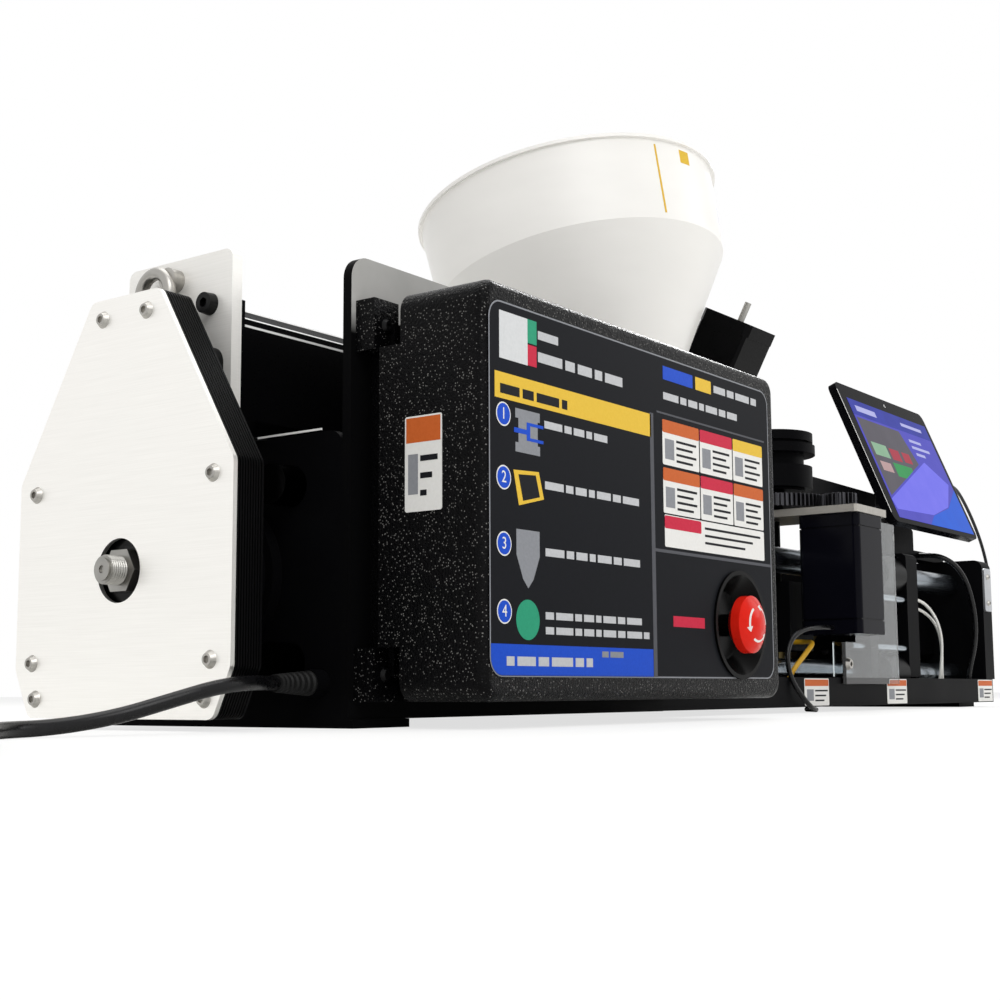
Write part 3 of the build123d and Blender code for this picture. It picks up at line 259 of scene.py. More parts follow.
stainless = brushedStainless()
paleStainless = brushedStainless("paleStainless", 0.3)
anodised = anodisedBlack()
barSteel = groundBar()
steel = turnedSteel()
darkSteel = turnedSteel("oiledSteel", "#101012", "#5C5C60")
aluminium = millAluminium()
warmAluminium = millAluminium("warmAluminium", "#8E8B85", "#B5B1AA")
caseAbs = pebbledAbs()
faced = facedPlate()
ribbed = mouldedBlack("ribbedHousingAbs", "#050506", 0.4, 0.6, 0.08)
motorLacquer = mouldedBlack("motorLacquer", "#050506", 0.3, 1.2, 0.05)
valveLacquer = mouldedBlack("valveMotorLacquer", "#0A0A11", 0.14, 2.0, 0.05)
rubber = mouldedBlack("beltRubber", "#0C0C0C", 0.6, 0.8)
mica = turnedSteel("micaBandSheet", "#8A7A50", "#C2AE78")
polythene = milkyPolythene()
acrylic = clearAcrylic()
estopBlack = glossPlastic("estopBlackNylon", "#040404", "#080808", 0.2, 0.05)
estopRed = glossPlastic("estopRedNylon", "#DE2618", "#CC1C10", 0.18, 0.08)
tabletGlass = glossPlastic("tabletCoverGlass", "#060608", "#0B0B0E", 0.1, 0.01)
jacketBlack = cordJacket("blackPvcJacket", "#050506", "#0C0C0E", 0.28, 0.24)
jacketWhite = cordJacket("whitePvcJacket", "#E2E1DC", "#CFCEC8", 0.5)
jacketYellow = cordJacket("yellowSiliconeJacket", "#D9A823", "#B98A14", 0.5)
oxideScrew = mouldedBlack("blackOxideSteel", "#09090A", 0.32, 0.5, 0.16)
brightScrew = turnedSteel("brightScrewSteel", "#8C8A86", "#BFBCB6")
# pale lacquer for painted highlights: thin strips standing for light glinting on edges
paintedHighlight = glossPlastic("paintedHighlightLacquer", "#F2F2F0", "#E6E6E4", 0.3, 0.3)
nickelEdge = turnedSteel("nickelEdgeSteel", "#C9CACB", "#F4F4F2")
filmInks = {
    "charcoal": ("charcoalFilm", "#151619", "#1B1C20", 0.4, 0.02),
    "line": ("dividerFilm", "#55565B", "#4C4D52", 0.4, 0.04),
    "white": ("whiteFilm", "#E6E5E2", "#DBDAD6", 0.4, 0.15),
    "window": ("windowFilm", "#D2D3D4", "#C3C5C6", 0.3, 0.15),
    "word": ("wordFilm", "#C4C5C7", "#B2B3B6", 0.4, 0.04),
    "grey": ("greyFilm", "#8E9095", "#7F8186", 0.4, 0.04),
    "yellow": ("yellowFilm", "#E2BC42", "#D9B138", 0.4, 0.05),
    "blue": ("blueFilm", "#1C4FC6", "#1846B6", 0.4, 0.05),
    "green": ("greenFilm", "#2F9A76", "#288D6B", 0.4, 0.05),
    "red": ("redFilm", "#C82A46", "#BA223C", 0.4, 0.05),
    "orange": ("orangeFilm", "#C76430", "#BB5A28", 0.4, 0.05),
    "ink": ("inkFilm", "#1E1F23", "#191A1D", 0.4, 0.03),
}
lightInks = {
    "night": ("litNight", "#2E3590", "#3A44AE"),
    "panel": ("litPanelGrey", "#57545C", "#615E66"),
    "violet": ("litViolet", "#4A49B4", "#5653C2"),
    "lilac": ("litLilac", "#6C6CE6", "#7B78EE"),
    "deep": ("litDeepBlue", "#2364DE", "#2A58C8"),
    "pale": ("litPale", "#B9BBEA", "#A9ABE0"),
    "mint": ("litMint", "#93B79A", "#86AD8E"),
    "leaf": ("litLeaf", "#3C9A5A", "#348E52"),
    "rose": ("litRose", "#B04050", "#A33848"),
    "dust": ("litDust", "#C0A0A0", "#B29494"),
}
films = {key: printedFilm(*ink) for key, ink in filmInks.items()}
lights = {key: litScreen(*ink) for key, ink in lightInks.items()}
print("materials made")

# which material each carried-over node wears
nodeFinish = {
    stainless: ["belt_cover"],
    paleStainless: ["end_plate"],
    faced: ["mounting_plate"],
    anodised: ["foot_plate_drive", "foot_plate_mould", "rail_front", "rail_rear", "bed_plate", "rear_platen",
               "end_platen", "crosshead", "barrel_carrier", "feed_block", "valve_block", "fixed_platen",
               "moving_platen", "tablet_arm", "tablet_bracket", "valve_stem", "valve_lever",
               "bearing_housing"],
    barSteel: ["tie_bars", "guide_pins", "clamp_rod"],
    brightScrew: ["lifting_eye"],
    steel: ["ball_screw", "plunger", "barrel", "auger"],
    darkSteel: ["valve_pinion", "valve_gear"],
    oxideScrew: ["screw_pulley", "motor_pulley"],
    warmAluminium: ["valve_plate"],
    caseAbs: ["box_shell", "box_back"],
    ribbed: ["belt_housing", "platen_bushes"],
    motorLacquer: ["injection_motor", "clamp_motor", "feed_motor"],
    valveLacquer: ["valve_motor"],
    rubber: ["drive_belt"],
    mica: ["heater_bands"],
    polythene: ["hopper", "hopper_collar"],
    acrylic: ["guard"],
    estopBlack: ["estop_collar", "estop_stem"],
    estopRed: ["estop_head"],
    tabletGlass: ["tablet"],
    jacketBlack: ["power_plug"],
}
for mat, names in nodeFinish.items():
    for name in names:
        mesh = nodes[name].data
        mesh.materials.clear()
        mesh.materials.append(mat)
print("nodes finished")


def addMesh(name, mesh, mat, body):
    obj = bpy.data.objects.new(name, mesh)
    bpy.context.collection.objects.link(obj)
    mesh.materials.clear()
    mesh.materials.append(mat)
    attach(obj, body)
    return obj


def closeMesh(name, bm, mat, body):
    mesh = bpy.data.meshes.new(name)
    bm.to_mesh(mesh)
    bm.free()
    return addMesh(name, mesh, mat, body)


# a flat face to work on, in millimetres: its origin, the way right, the way up and the way out
def faceFrame(origin, right, out):
    right, out = Vector(right).normalized(), Vector(out).normalized()
    return Vector(origin), right, out.cross(right), out


def onFace(face, u, v, w):
    origin, right, up, out = face
    return (origin + right * u + up * v + out * w) * mm


cornerPoints = 7  # points round each rounded corner


# outlines run anticlockwise as seen from in front of the face, from the lower right corner when rounded
def rect(u0, u1, v0, v1, r=0.0):
    if r == 0.0:
        return [(u0, v0), (u1, v0), (u1, v1), (u0, v1)]
    points = []
    middles = ((u1 - r, v0 + r), (u1 - r, v1 - r), (u0 + r, v1 - r), (u0 + r, v0 + r))
    for k, (cu, cv) in enumerate(middles):
        for step in range(cornerPoints):
            turn = math.radians(90 * (k - 1) + step * 90 / (cornerPoints - 1))
            points.append((cu + r * math.cos(turn), cv + r * math.sin(turn)))
    return points


def disc(u, v, r, count=32):
    turns = [2 * math.pi * i / count for i in range(count)]
    return [(u + r * math.cos(t), v + r * math.sin(t)) for t in turns]


def addPrism(bm, face, outline, low, high):
    under, over = ([bm.verts.new(onFace(face, u, v, w)) for u, v in outline] for w in (low, high))
    bm.faces.new(under[::-1])
    bm.faces.new(over)
    for i in range(len(outline)):
        j = (i + 1) % len(outline)
        bm.faces.new((under[i], under[j], over[j], over[i]))


# a flat frame between two outlines that have the same number of points
def addRing(bm, face, outer, inner, low, high):
    loops = [[bm.verts.new(onFace(face, u, v, w)) for u, v in line] for line in (outer, inner) for w in (low, high)]
    outLow, outHigh, inLow, inHigh = loops
    for i in range(len(outer)):
        j = (i + 1) % len(outer)
        bm.faces.new((outLow[i], outLow[j], outHigh[j], outHigh[i]))
        bm.faces.new((inLow[j], inLow[i], inHigh[i], inHigh[j]))
        bm.faces.new((outHigh[i], outHigh[j], inHigh[j], inHigh[i]))
        bm.faces.new((outLow[j], outLow[i], inLow[i], inLow[j]))


# skins rows of points that close round, with a flat cap at each end
def skinRows(bm, rows):
    count = len(rows[0])
    for a, b in zip(rows, rows[1:]):
        for i in range(count):
            j = (i + 1) % count
            bm.faces.new((a[i], a[j], b[j], b[i]))
    bm.faces.new(rows[0][::-1])
    bm.faces.new(rows[-1])
    bmesh.ops.recalc_face_normals(bm, faces=bm.faces[:])


filmThick = 0.3  # the base film, mm
inkStep = 0.1  # each colour printed over it, mm


# prints flat fields on a face, one mesh for each colour
def printFields(name, face, fields, palette, body):
    groups = {}
    for colour, layer, outline in fields:
        groups.setdefault(colour, []).append((layer, outline))
    for colour, shapes in groups.items():
        bm = bmesh.new()
        for layer, outline in shapes:
            low = filmThick + inkStep * (layer - 2) if layer else 0.0
            addPrism(bm, face, outline, low, filmThick + inkStep * layer)
        closeMesh(f"{name}.{colour}", bm, palette[colour], body)


def addNumeral(bm, text, face, u, v, size, low, high):
    curve = bpy.data.curves.new("numeral", "FONT")
    curve.body = text
    curve.size = size
    curve.align_x = "CENTER"
    curve.align_y = "CENTER"
    curve.extrude = (high - low) / 2
    holder = bpy.data.objects.new("numeral", curve)
    mesh = bpy.data.meshes.new_from_object(holder)
    first = len(bm.verts)
    bm.from_mesh(mesh)
    bm.verts.ensure_lookup_table()
    for vert in bm.verts[first:]:
        x, y, z = vert.co
        vert.co = onFace(face, u + x, v + y, (low + high) / 2 + z)
    bpy.data.objects.remove(holder)
    bpy.data.meshes.remove(mesh)


# camera where the photograph was taken from, close to the bench
cameraSpec = {
    "place": (-0.6666, -0.6838, 0.0210),
    "forward": (0.79922, 0.58889, 0.12020),
    "up": (-0.09361, -0.07559, 0.99274),
    "lens": 53.6,
    "shiftY": 0.0107,
}


def setCamera(spec):
    data = bpy.data.cameras.new("viewCamera")
    data.lens = spec["lens"]
    data.sensor_width = 36.0
    data.sensor_fit = "HORIZONTAL"
    data.shift_y = spec["shiftY"]
    data.clip_start = 0.01
    camera = bpy.data.objects.new("viewCamera", data)
    bpy.context.collection.objects.link(camera)
    forward = Vector(spec["forward"]).normalized()
    right = forward.cross(Vector(spec["up"])).normalized()
    up = right.cross(forward)
    turn = Matrix((right, up, -forward)).transposed()
    camera.matrix_world = Matrix.Translation(spec["place"]) @ turn.to_4x4()
    bpy.context.scene.camera = camera


setCamera(cameraSpec)

# the unused lead: a neat ring two turns wide and two high, with its tail on top
coil = {
    "middle": (-396.0, -149.0),
    "rings": rect(48.0, 40.0, 4.0, 12.0),
    "firstTurn": 180.0,
    "perTurn": 14,
    "lastTurn": 4.3,
    "tail": [(-381, -103, 11.5), (-352, -105, 11)],
}


def coilTurns(spec):
    cx, cy = spec["middle"]
    rings, points = spec["rings"], []
    for step in range(int(spec["lastTurn"] * spec["perTurn"])):
        turn = step / spec["perTurn"]
        at = min(int(turn), len(rings) - 1)
        after = min(at + 1, len(rings) - 1)
        ease = max(0.0, (turn - at - 0.3) / 0.7)
        r, z = (rings[at][k] + (rings[after][k] - rings[at][k]) * ease for k in (0, 1))
        angle = math.radians(spec["firstTurn"]) - 2 * math.pi * turn
        points.append((cx + r * math.cos(angle), cy + r * math.sin(angle), z))
    return points + spec["tail"]


# what the short leads inside the machine share, and what the black ones do
innerLead = {"farEnd": "object", "stiff": "limp", "lay": "hanging", "pieces": []}
blackLead = {"mat": jacketBlack, "slot": "cord_black"}

# cords: the routes of the solids in millimetres, one smooth line each; a wire given bends is made into a fixed mesh
# and attached to no body
cords = {
    "powerCord": {
        **blackLead, "replaces": ["power_cord", "power_cord_coil"], "mm": 8.0,
        "farEnd": "plug", "stiff": "medium", "lay": "loose", "pieces": ["power_plug"],
        "route": [(-35, -80, 26), (-53, -80, 26), (-72, -86, 26), (-90, -99, 26), (-110, -110, 26),
                  (-134, -111, 24), (-157, -102, 17), (-181, -89, 9), (-210, -79, 4.5), (-243, -80, 4),
                  (-274, -110, 4), (-304, -158, 4), (-339, -207, 4), (-366, -242, 4), (-388, -254, 4),
                  (-412, -252, 4), (-431, -237, 4), (-440, -215, 4), (-442, -192, 4)] + coilTurns(coil),
    },
    "tabletCable": {
        **innerLead, **blackLead, "replaces": ["tablet_cable"], "mm": 4.0,
        "route": [(1107, -57.59, 267.05), (1125, -57.59, 267.05), (1149, -58, 256), (1178, -60, 232),
                  (1206, -62, 200), (1227, -62, 163), (1235, -58, 124), (1224, -50, 92), (1198, -44, 70),
                  (1163, -42, 60), (1127, -42, 60)],
    },
    "signalCable": {
        **innerLead, **blackLead, "replaces": ["signal_cable"], "mm": 6.0, "stiff": "medium",
        "route": [(1046, -38.98, 178), (1046, -53.98, 178), (1050, -68, 174), (1058, -80, 164), (1066, -88, 146),
                  (1074, -91.5, 121), (1080, -92, 94), (1081, -89, 69), (1081, -84, 50), (1082, -80, 33),
                  (1082, -80, 16)],
    },
    "sensorWireNear": {
        **innerLead, "replaces": ["sensor_wire_near"], "mm": 3.4, "mat": jacketWhite, "slot": "wire_white",
        "bends": ("clamp", 72, "frame", 17),
        "route": [(940, -70, 120), (952, -70, 120), (968, -72, 117), (985, -74, 109), (1000, -75.6, 96),
                  (1009, -76, 79), (1008, -76, 60), (1004, -75.8, 44), (1002, -74, 29.5), (1002, -73, 16)],
    },
    "sensorWireFar": {
        **innerLead, "replaces": ["sensor_wire_far"], "mm": 3.4, "mat": jacketWhite, "slot": "wire_white",
        "bends": ("clamp", 100, "frame", 17),
        "route": [(940, -60, 113), (952, -60, 113), (970, -62, 111.5), (988, -65.5, 107), (1006, -68.5, 98),
                  (1019, -70.2, 84), (1024, -70.4, 66), (1021, -70.6, 48), (1018, -71.6, 31.5), (1018, -72.5, 16)],
    },
    "valveCable": {
        **innerLead, **blackLead, "replaces": ["valve_cable"], "mm": 4.6, "lay": "loose",
        "route": [(638, -107, 78), (626, -107, 78), (608, -104, 77.5), (590, -99.5, 75), (575, -96, 67.5),
                  (566, -94.5, 54), (565, -96, 38), (570, -99.5, 24), (580, -103, 13), (593, -104, 5),
                  (608, -101.5, 2.4), (623, -95, 2.4), (636, -85.5, 2.4), (646, -75, 2.4)],
    },
    "heaterLead": {
        **innerLead, "replaces": ["heater_lead"], "mm": 4.6, "mat": jacketYellow, "slot": "lead_yellow",
        "route": [(650, -62, 66), (650, -72, 66), (645.5, -82, 65.5), (635, -88, 63), (623, -89.5, 58),
                  (612, -88, 50), (603, -84.5, 41), (597.5, -81, 31.5), (595.5, -79.5, 23.5), (595.5, -79.5, 16)],
    },
}


# the points along a curve that has no bevel yet
def curvePoints(curve):
    holder = bpy.data.objects.new("measure", curve)
    mesh = bpy.data.meshes.new_from_object(holder)
    points = [v.co.copy() for v in mesh.vertices]
    bpy.data.objects.remove(holder)
    bpy.data.meshes.remove(mesh)
    return points


# ribbed rubber sleeve that tapers along the first stretch of the power cord
reliefSleeve = {"length": 34.0, "rootR": 7.4, "tipR": 5.0, "ribs": 7, "perRib": 4, "ribDeep": 0.7,
                "sides": 28}


def addReliefSleeve(spec, points):
    rings, run = [], 0.0
    for i, point in enumerate(points[:-1]):
        if i:
            run += (point - points[i - 1]).length / mm
        if run > spec["length"]:
            break
        rings.append((run, point, (points[i + 1] - points[max(i - 1, 0)]).normalized()))
    bm = bmesh.new()
    loops = []
    perRib = spec["perRib"]
    for k in range(perRib * spec["ribs"] + 1):
        share = k / (perRib * spec["ribs"])
        want = share * rings[-1][0]
        run, point, along = min(rings, key=lambda ring: abs(ring[0] - want))
        centre = point + along * (want - run) * mm
        groove = spec["ribDeep"] * (k % perRib >= perRib / 2)
        r = spec["rootR"] + (spec["tipR"] - spec["rootR"]) * share - groove
        side = along.cross(Vector((0, 0, 1))).normalized()
        top = side.cross(along)
        turns = [2 * math.pi * i / spec["sides"] for i in range(spec["sides"])]
        loops.append([bm.verts.new(centre + (side * math.cos(t) + top * math.sin(t)) * r * mm) for t in turns])
    skinRows(bm, loops)
    return closeMesh("powerReliefSleeve", bm, rubber, "frame")


# hook-and-loop tie round the ring of unused lead
coilTie = {"turn": 250.0, "inner": 34.6, "outer": 53.4, "top": 17.4, "wall": 0.9, "width": 12.0, "outerR": 4.0,
           "innerR": 3.4}


def addCoilTie(spec):
    turn = math.radians(spec["turn"])
    right = (math.cos(turn), math.sin(turn), 0)
    face = faceFrame((coil["middle"][0], coil["middle"][1], 0), right, (math.sin(turn), -math.cos(turn), 0))
    wall = spec["wall"]
    bm = bmesh.new()
    outer = rect(spec["inner"], spec["outer"], 0.0, spec["top"], spec["outerR"])
    inner = rect(spec["inner"] + wall, spec["outer"] - wall, wall / 2, spec["top"] - wall, spec["innerR"])
    addRing(bm, face, outer, inner, -spec["width"] / 2, spec["width"] / 2)
    return closeMesh("coilTie", bm, rubber, "frame")


def layCord(name, spec):
    curve = bpy.data.curves.new(name, "CURVE")
    curve.dimensions = "3D"
    spline = curve.splines.new("NURBS")
    spline.points.add(len(spec["route"]) - 1)
    for point, place in zip(spline.points, spec["route"]):
        point.co = [c * mm for c in place] + [1.0]
    spline.order_u = 3
    spline.use_endpoint_u = True
    curve.resolution_u = 8
    points = curvePoints(curve)
    pieces = [nodes[n] for n in spec["pieces"]]
    if spec["farEnd"] == "plug":
        pieces += [addReliefSleeve(reliefSleeve, points), addCoilTie(coilTie)]
    curve.bevel_depth = spec["mm"] * mm / 2
    curve.bevel_resolution = 4
    curve.use_fill_caps = True
    curve.materials.append(spec["mat"])
    obj = bpy.data.objects.new(name, curve)
    if "bends" in spec:
        tube = bpy.data.meshes.new_from_object(obj)
        bpy.data.objects.remove(obj)
        obj = bpy.data.objects.new(name, tube)
    bpy.context.collection.objects.link(obj)
    if "bends" in spec:
        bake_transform(obj)
    else:
        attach(obj, "frame")
    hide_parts(*spec["replaces"])


for cordName, cordSpec in cords.items():
    layCord(cordName, cordSpec)

# the printed front of the control box, measured from the box's lower left corner
panelPrint = {
    "corner": (-21.0, -197.5, 15.0),
    "label": (4.0, 349.0, 13.7, 225.0, 11.0),
    "stopHole": (296.9, 51.2, 36.5),
    "numerals": [("1", 17.6, 160.3), ("2", 17.6, 124.4), ("3", 17.6, 87.2), ("4", 17.6, 49.6)],
    "numeralSize": 9.5,
    "fields": [
        ("window", 1, rect(14, 41.5, 192, 219.5)),
        ("green", 1, rect(41.5, 50.7, 205.5, 219.5)), ("red", 1, rect(41.5, 50.5, 192.3, 204.5)),
        ("yellow", 1, rect(9.5, 179.5, 169, 184)),
        ("grey", 1, rect(29, 53.2, 140.5, 146)), ("grey", 1, rect(29, 53.2, 160, 165.5)),
        ("grey", 1, rect(32, 51, 146, 160)),
        ("blue", 2, rect(27.7, 40, 151.4, 154.2)), ("blue", 2, rect(40, 43.4, 148, 158.6)),
        ("blue", 2, rect(43.4, 56.6, 156.8, 158.6)), ("blue", 2, rect(43.4, 56.6, 148, 149.8)),
        ("yellow", 1, [(32, 110), (56.8, 115.7), (51.8, 131.1), (26.9, 129.8)]),
        ("ink", 2, [(36, 112.9), (52.6, 116.6), (48.6, 128.8), (31.6, 127.6)]),
        ("grey", 1, [(40.5, 63.5), (45.6, 68.5), (52, 82), (52, 96.5), (29.3, 96.5), (29.3, 82), (35.6, 68.5)]),
        ("green", 1, disc(40, 45.7, 11.4)),
        ("blue", 1, [(177.5, 14.3), (177.5, 31.8), (4.7, 31.8)]
         + [(15 + 10.3 * math.cos(math.radians(a)), 24.6 + 10.3 * math.sin(math.radians(a)))
            for a in range(180, 271, 15)]),
        ("line", 1, rect(178, 182.5, 14.3, 185)), ("line", 1, rect(182.5, 347.5, 94.8, 96.8)),
        ("line", 1, rect(187, 342, 186.4, 187.6)),
        ("blue", 1, rect(196, 236, 210, 219)), ("yellow", 1, rect(240, 262, 210, 219)),
        ("red", 1, rect(204, 246, 47, 54)),
    ],
    "lines": [
        ("word", 1, 52, 80, 209.5, 214.5), ("word", 1, 52, 145, 196, 202), ("ink", 2, 14.5, 82, 172, 177.5),
        ("word", 1, 58, 128, 157.8, 162.2), ("word", 1, 58, 166.5, 122, 126.6), ("word", 1, 58, 170, 83, 87.6),
        ("word", 1, 57.5, 164.7, 46.6, 50.8), ("word", 1, 57.5, 173, 38.1, 42.3), ("word", 2, 19.3, 106.5, 19.8, 25),
        ("grey", 2, 117, 141.6, 25.8, 29.4), ("word", 1, 266, 338, 212, 217), ("word", 1, 196, 300, 196.6, 201.4),
    ],
    "wordRun": [2.6, 1.4, 3.4, 2.0, 4.2, 1.7],
    "wordGap": 0.55,
    "cardRows": [(153.0, 183.0, ("orange", "red", "yellow")), (121.0, 151.0, ("orange", "red", "orange"))],
    "cardCols": [(194.0, 243.0), (244.5, 291.0), (292.5, 338.0)],
    "cardHead": 8.5,
    "cardCorner": 1.2,
    "cardLine": {"first": 3.6, "step": 4.4, "tall": 1.6, "left": 18.0, "cuts": [4.0, 9.0, 4.0, 9.0]},
    "cardPicture": {"left": 3.0, "right": 15.0, "edge": 4.0},
    "wideCard": (195.0, 338.0, 98.8, 120.0),
    "wideHead": {"wide": 49.0, "tall": 9.0, "edge": 0.6},
    "wideLine": {"first": 4.0, "step": 5.0, "tall": 1.6, "left": 54.0, "cuts": [6.0, 18.0, 30.0]},
    "numeralRing": 6.9,
    "numeralDisc": 6.1,
    "outlineWide": 0.9,
}


# a line of plain word-length dashes, their lengths and gaps counted in line heights
def dashes(spec, line):
    colour, layer, u0, u1, low, high = line
    tall, at, made, k = high - low, u0, [], int(u0)
    while u1 - at > tall:
        end = min(at + spec["wordRun"][k % len(spec["wordRun"])] * tall, u1)
        made.append((colour, layer, rect(at, end, low, high)))
        at, k = end + spec["wordGap"] * tall, k + 1
    return made


# bars for the lines of print on a card, each cut short of the right edge
def inkLines(line, left, right, top):
    tops = [top - line["first"] - line["step"] * k for k in range(len(line["cuts"]))]
    return [("ink", 2, rect(left + line["left"], right - cut, at - line["tall"], at))
            for cut, at in zip(line["cuts"], tops)]


def addPanelPrint(spec):
    face = faceFrame(spec["corner"], (1, 0, 0), (0, -1, 0))
    u0, u1, v0, v1, r = spec["label"]
    cu, cv, hole = spec["stopHole"]
    full = rect(u0, u1, v0, v1, r)
    turns = [math.radians(a) for a in range(270, 89, -9)]
    leftArc = [(cu + hole * math.cos(t), cv + hole * math.sin(t)) for t in turns]
    rightArc = [(2 * cu - u, v) for u, v in leftArc[::-1]]
    rightSide, leftTop, leftLow = (full[:2 * cornerPoints], full[2 * cornerPoints:3 * cornerPoints],
                                   full[3 * cornerPoints:])
    fields = [("charcoal", 0, leftLow + [(cu, v0)] + leftArc + [(cu, v1)] + leftTop),
              ("charcoal", 0, [(cu, v0)] + rightSide + [(cu, v1)] + rightArc)]
    fields += spec["fields"]
    for line in spec["lines"]:
        fields += dashes(spec, line)
    corner, picture, head = spec["cardCorner"], spec["cardPicture"], spec["wideHead"]
    for low, high, heads in spec["cardRows"]:
        for (left, right), colour in zip(spec["cardCols"], heads):
            under = high - spec["cardHead"]
            fields.append(("white", 1, rect(left, right, low, high, corner)))
            fields.append((colour, 2, rect(left, right, under, high, corner)))
            fields += inkLines(spec["cardLine"], left, right, under)
            fields.append(("grey", 2, rect(left + picture["left"], left + picture["right"], low + picture["edge"],
                                           under - picture["edge"])))
    left, right, low, high = spec["wideCard"]
    fields.append(("white", 1, rect(left, right, low, high, corner)))
    fields.append(("red", 2, rect(left, left + head["wide"], high - head["tall"], high - head["edge"], corner)))
    fields += inkLines(spec["wideLine"], left, right, high)
    for _, u, v in spec["numerals"]:
        fields += [("white", 1, disc(u, v, spec["numeralRing"])), ("blue", 2, disc(u, v, spec["numeralDisc"]))]
    printFields("panelPrint", face, fields, films, "frame")
    bm = bmesh.new()
    for numeral, u, v in spec["numerals"]:
        addNumeral(bm, numeral, face, u, v, spec["numeralSize"], filmThick + inkStep, filmThick + 3 * inkStep)
    closeMesh("panelPrint.numerals", bm, films["white"], "frame")
    bm = bmesh.new()
    w = spec["outlineWide"]
    addRing(bm, face, full, rect(u0 + w, u1 - w, v0 + w, v1 - w, r - w), filmThick - inkStep, filmThick + inkStep)
    closeMesh("panelPrint.outline", bm, films["grey"], "frame")


addPanelPrint(panelPrint)

# small plain stickers: where each lies, its size, and which way it faces
onRail = {"right": (1, 0, 0), "out": (0, -1, 0), "wide": 53.0, "tall": 25.0}
stickers = {
    "boxSideSticker": {"at": (-21.0, -141.0, 122.0), "right": (0, -1, 0), "out": (-1, 0, 0), "wide": 27.0,
                       "tall": 55.0},
    "railStickerNear": {**onRail, "at": (597.0, -96.0, 6.0)},
    "railStickerMid": {**onRail, "at": (792.0, -96.0, 6.0)},
    "railStickerFar": {**onRail, "at": (1066.0, -96.0, 6.0), "wide": 50.0},
}
# what is printed on each: edges in millimetres, and the rest in shares of its width or height
stickerPrint = {
    "corner": 1.5, "edge": 1.0, "head": 0.72, "lines": 3, "lineTop": 0.58, "lineStep": 0.18, "lineTall": 0.06,
    "lineLeft": 0.42, "lineEdge": 3.0, "lineShorter": 4.0, "picture": (0.09, 0.36, 0.18, 0.6),
}


def addSticker(name, spec, ink):
    face = faceFrame(spec["at"], spec["right"], spec["out"])
    wide, tall, edge = spec["wide"], spec["tall"], ink["edge"]
    fields = [("white", 0, rect(0, wide, 0, tall, ink["corner"])),
              ("orange", 1, rect(edge, wide - edge, tall * ink["head"], tall - edge))]
    for k in range(ink["lines"]):
        at = tall * (ink["lineTop"] - ink["lineStep"] * k)
        end = wide - ink["lineEdge"] - ink["lineShorter"] * k
        fields.append(("ink", 1, rect(wide * ink["lineLeft"], end, at - tall * ink["lineTall"], at)))
    left, right, low, high = ink["picture"]
    fields.append(("grey", 1, rect(wide * left, wide * right, tall * low, tall * high)))
    printFields(name, face, fields, films, "frame")


for stickerName, stickerSpec in stickers.items():
    addSticker(stickerName, stickerSpec, stickerPrint)
print("printed films laid")


# button heads with a hexagon socket, one on each point of the mesh
def screwHeadTree():
    tree = bpy.data.node_groups.new("screwHeads", "GeometryNodeTree")
    sockets = tree.interface
    sockets.new_socket("Geometry", in_out="INPUT", socket_type="NodeSocketGeometry")
    for label in ("Head Radius", "Crown Radius", "Head Height", "Socket Radius", "Socket Depth"):
        sockets.new_socket(label, in_out="INPUT", socket_type="NodeSocketFloat")
    sockets.new_socket("Turn", in_out="INPUT", socket_type="NodeSocketVector")
    sockets.new_socket("Finish", in_out="INPUT", socket_type="NodeSocketMaterial")
    sockets.new_socket("Geometry", in_out="OUTPUT", socket_type="NodeSocketGeometry")
    given = addNode(tree, "NodeGroupInput").outputs
    head = addNode(tree, "GeometryNodeMeshCone", {"Vertices": 32, "Side Segments": 3},
                   {"Radius Bottom": given["Head Radius"], "Radius Top": given["Crown Radius"],
                    "Depth": given["Head Height"]})
    twice = addNode(tree, "ShaderNodeMath", {1: 2.0}, {0: given["Socket Depth"]}, operation="MULTIPLY")
    cutter = addNode(tree, "GeometryNodeMeshCylinder", {"Vertices": 6},
                     {"Radius": given["Socket Radius"], "Depth": twice.outputs["Value"]})
    lift = addNode(tree, "ShaderNodeCombineXYZ", None, {"Z": given["Head Height"]})
    raised = addNode(tree, "GeometryNodeTransform", None,
                     {"Geometry": cutter.outputs["Mesh"], "Translation": lift.outputs["Vector"]})
    bored = addNode(tree, "GeometryNodeMeshBoolean", None,
                    {0: head.outputs["Mesh"], 1: raised.outputs["Geometry"]}, operation="DIFFERENCE")
    turn = addNode(tree, "FunctionNodeEulerToRotation", None, {0: given["Turn"]})
    laid = addNode(tree, "GeometryNodeInstanceOnPoints", None,
                   {"Points": given["Geometry"], "Instance": bored.outputs[0], "Rotation": turn.outputs[0]})
    real = addNode(tree, "GeometryNodeRealizeInstances", None, {"Geometry": laid.outputs["Instances"]})
    dressed = addNode(tree, "GeometryNodeSetMaterial", None,
                      {"Geometry": real.outputs["Geometry"], "Material": given["Finish"]})
    addNode(tree, "NodeGroupOutput", None, {"Geometry": dressed.outputs["Geometry"]})
    return tree


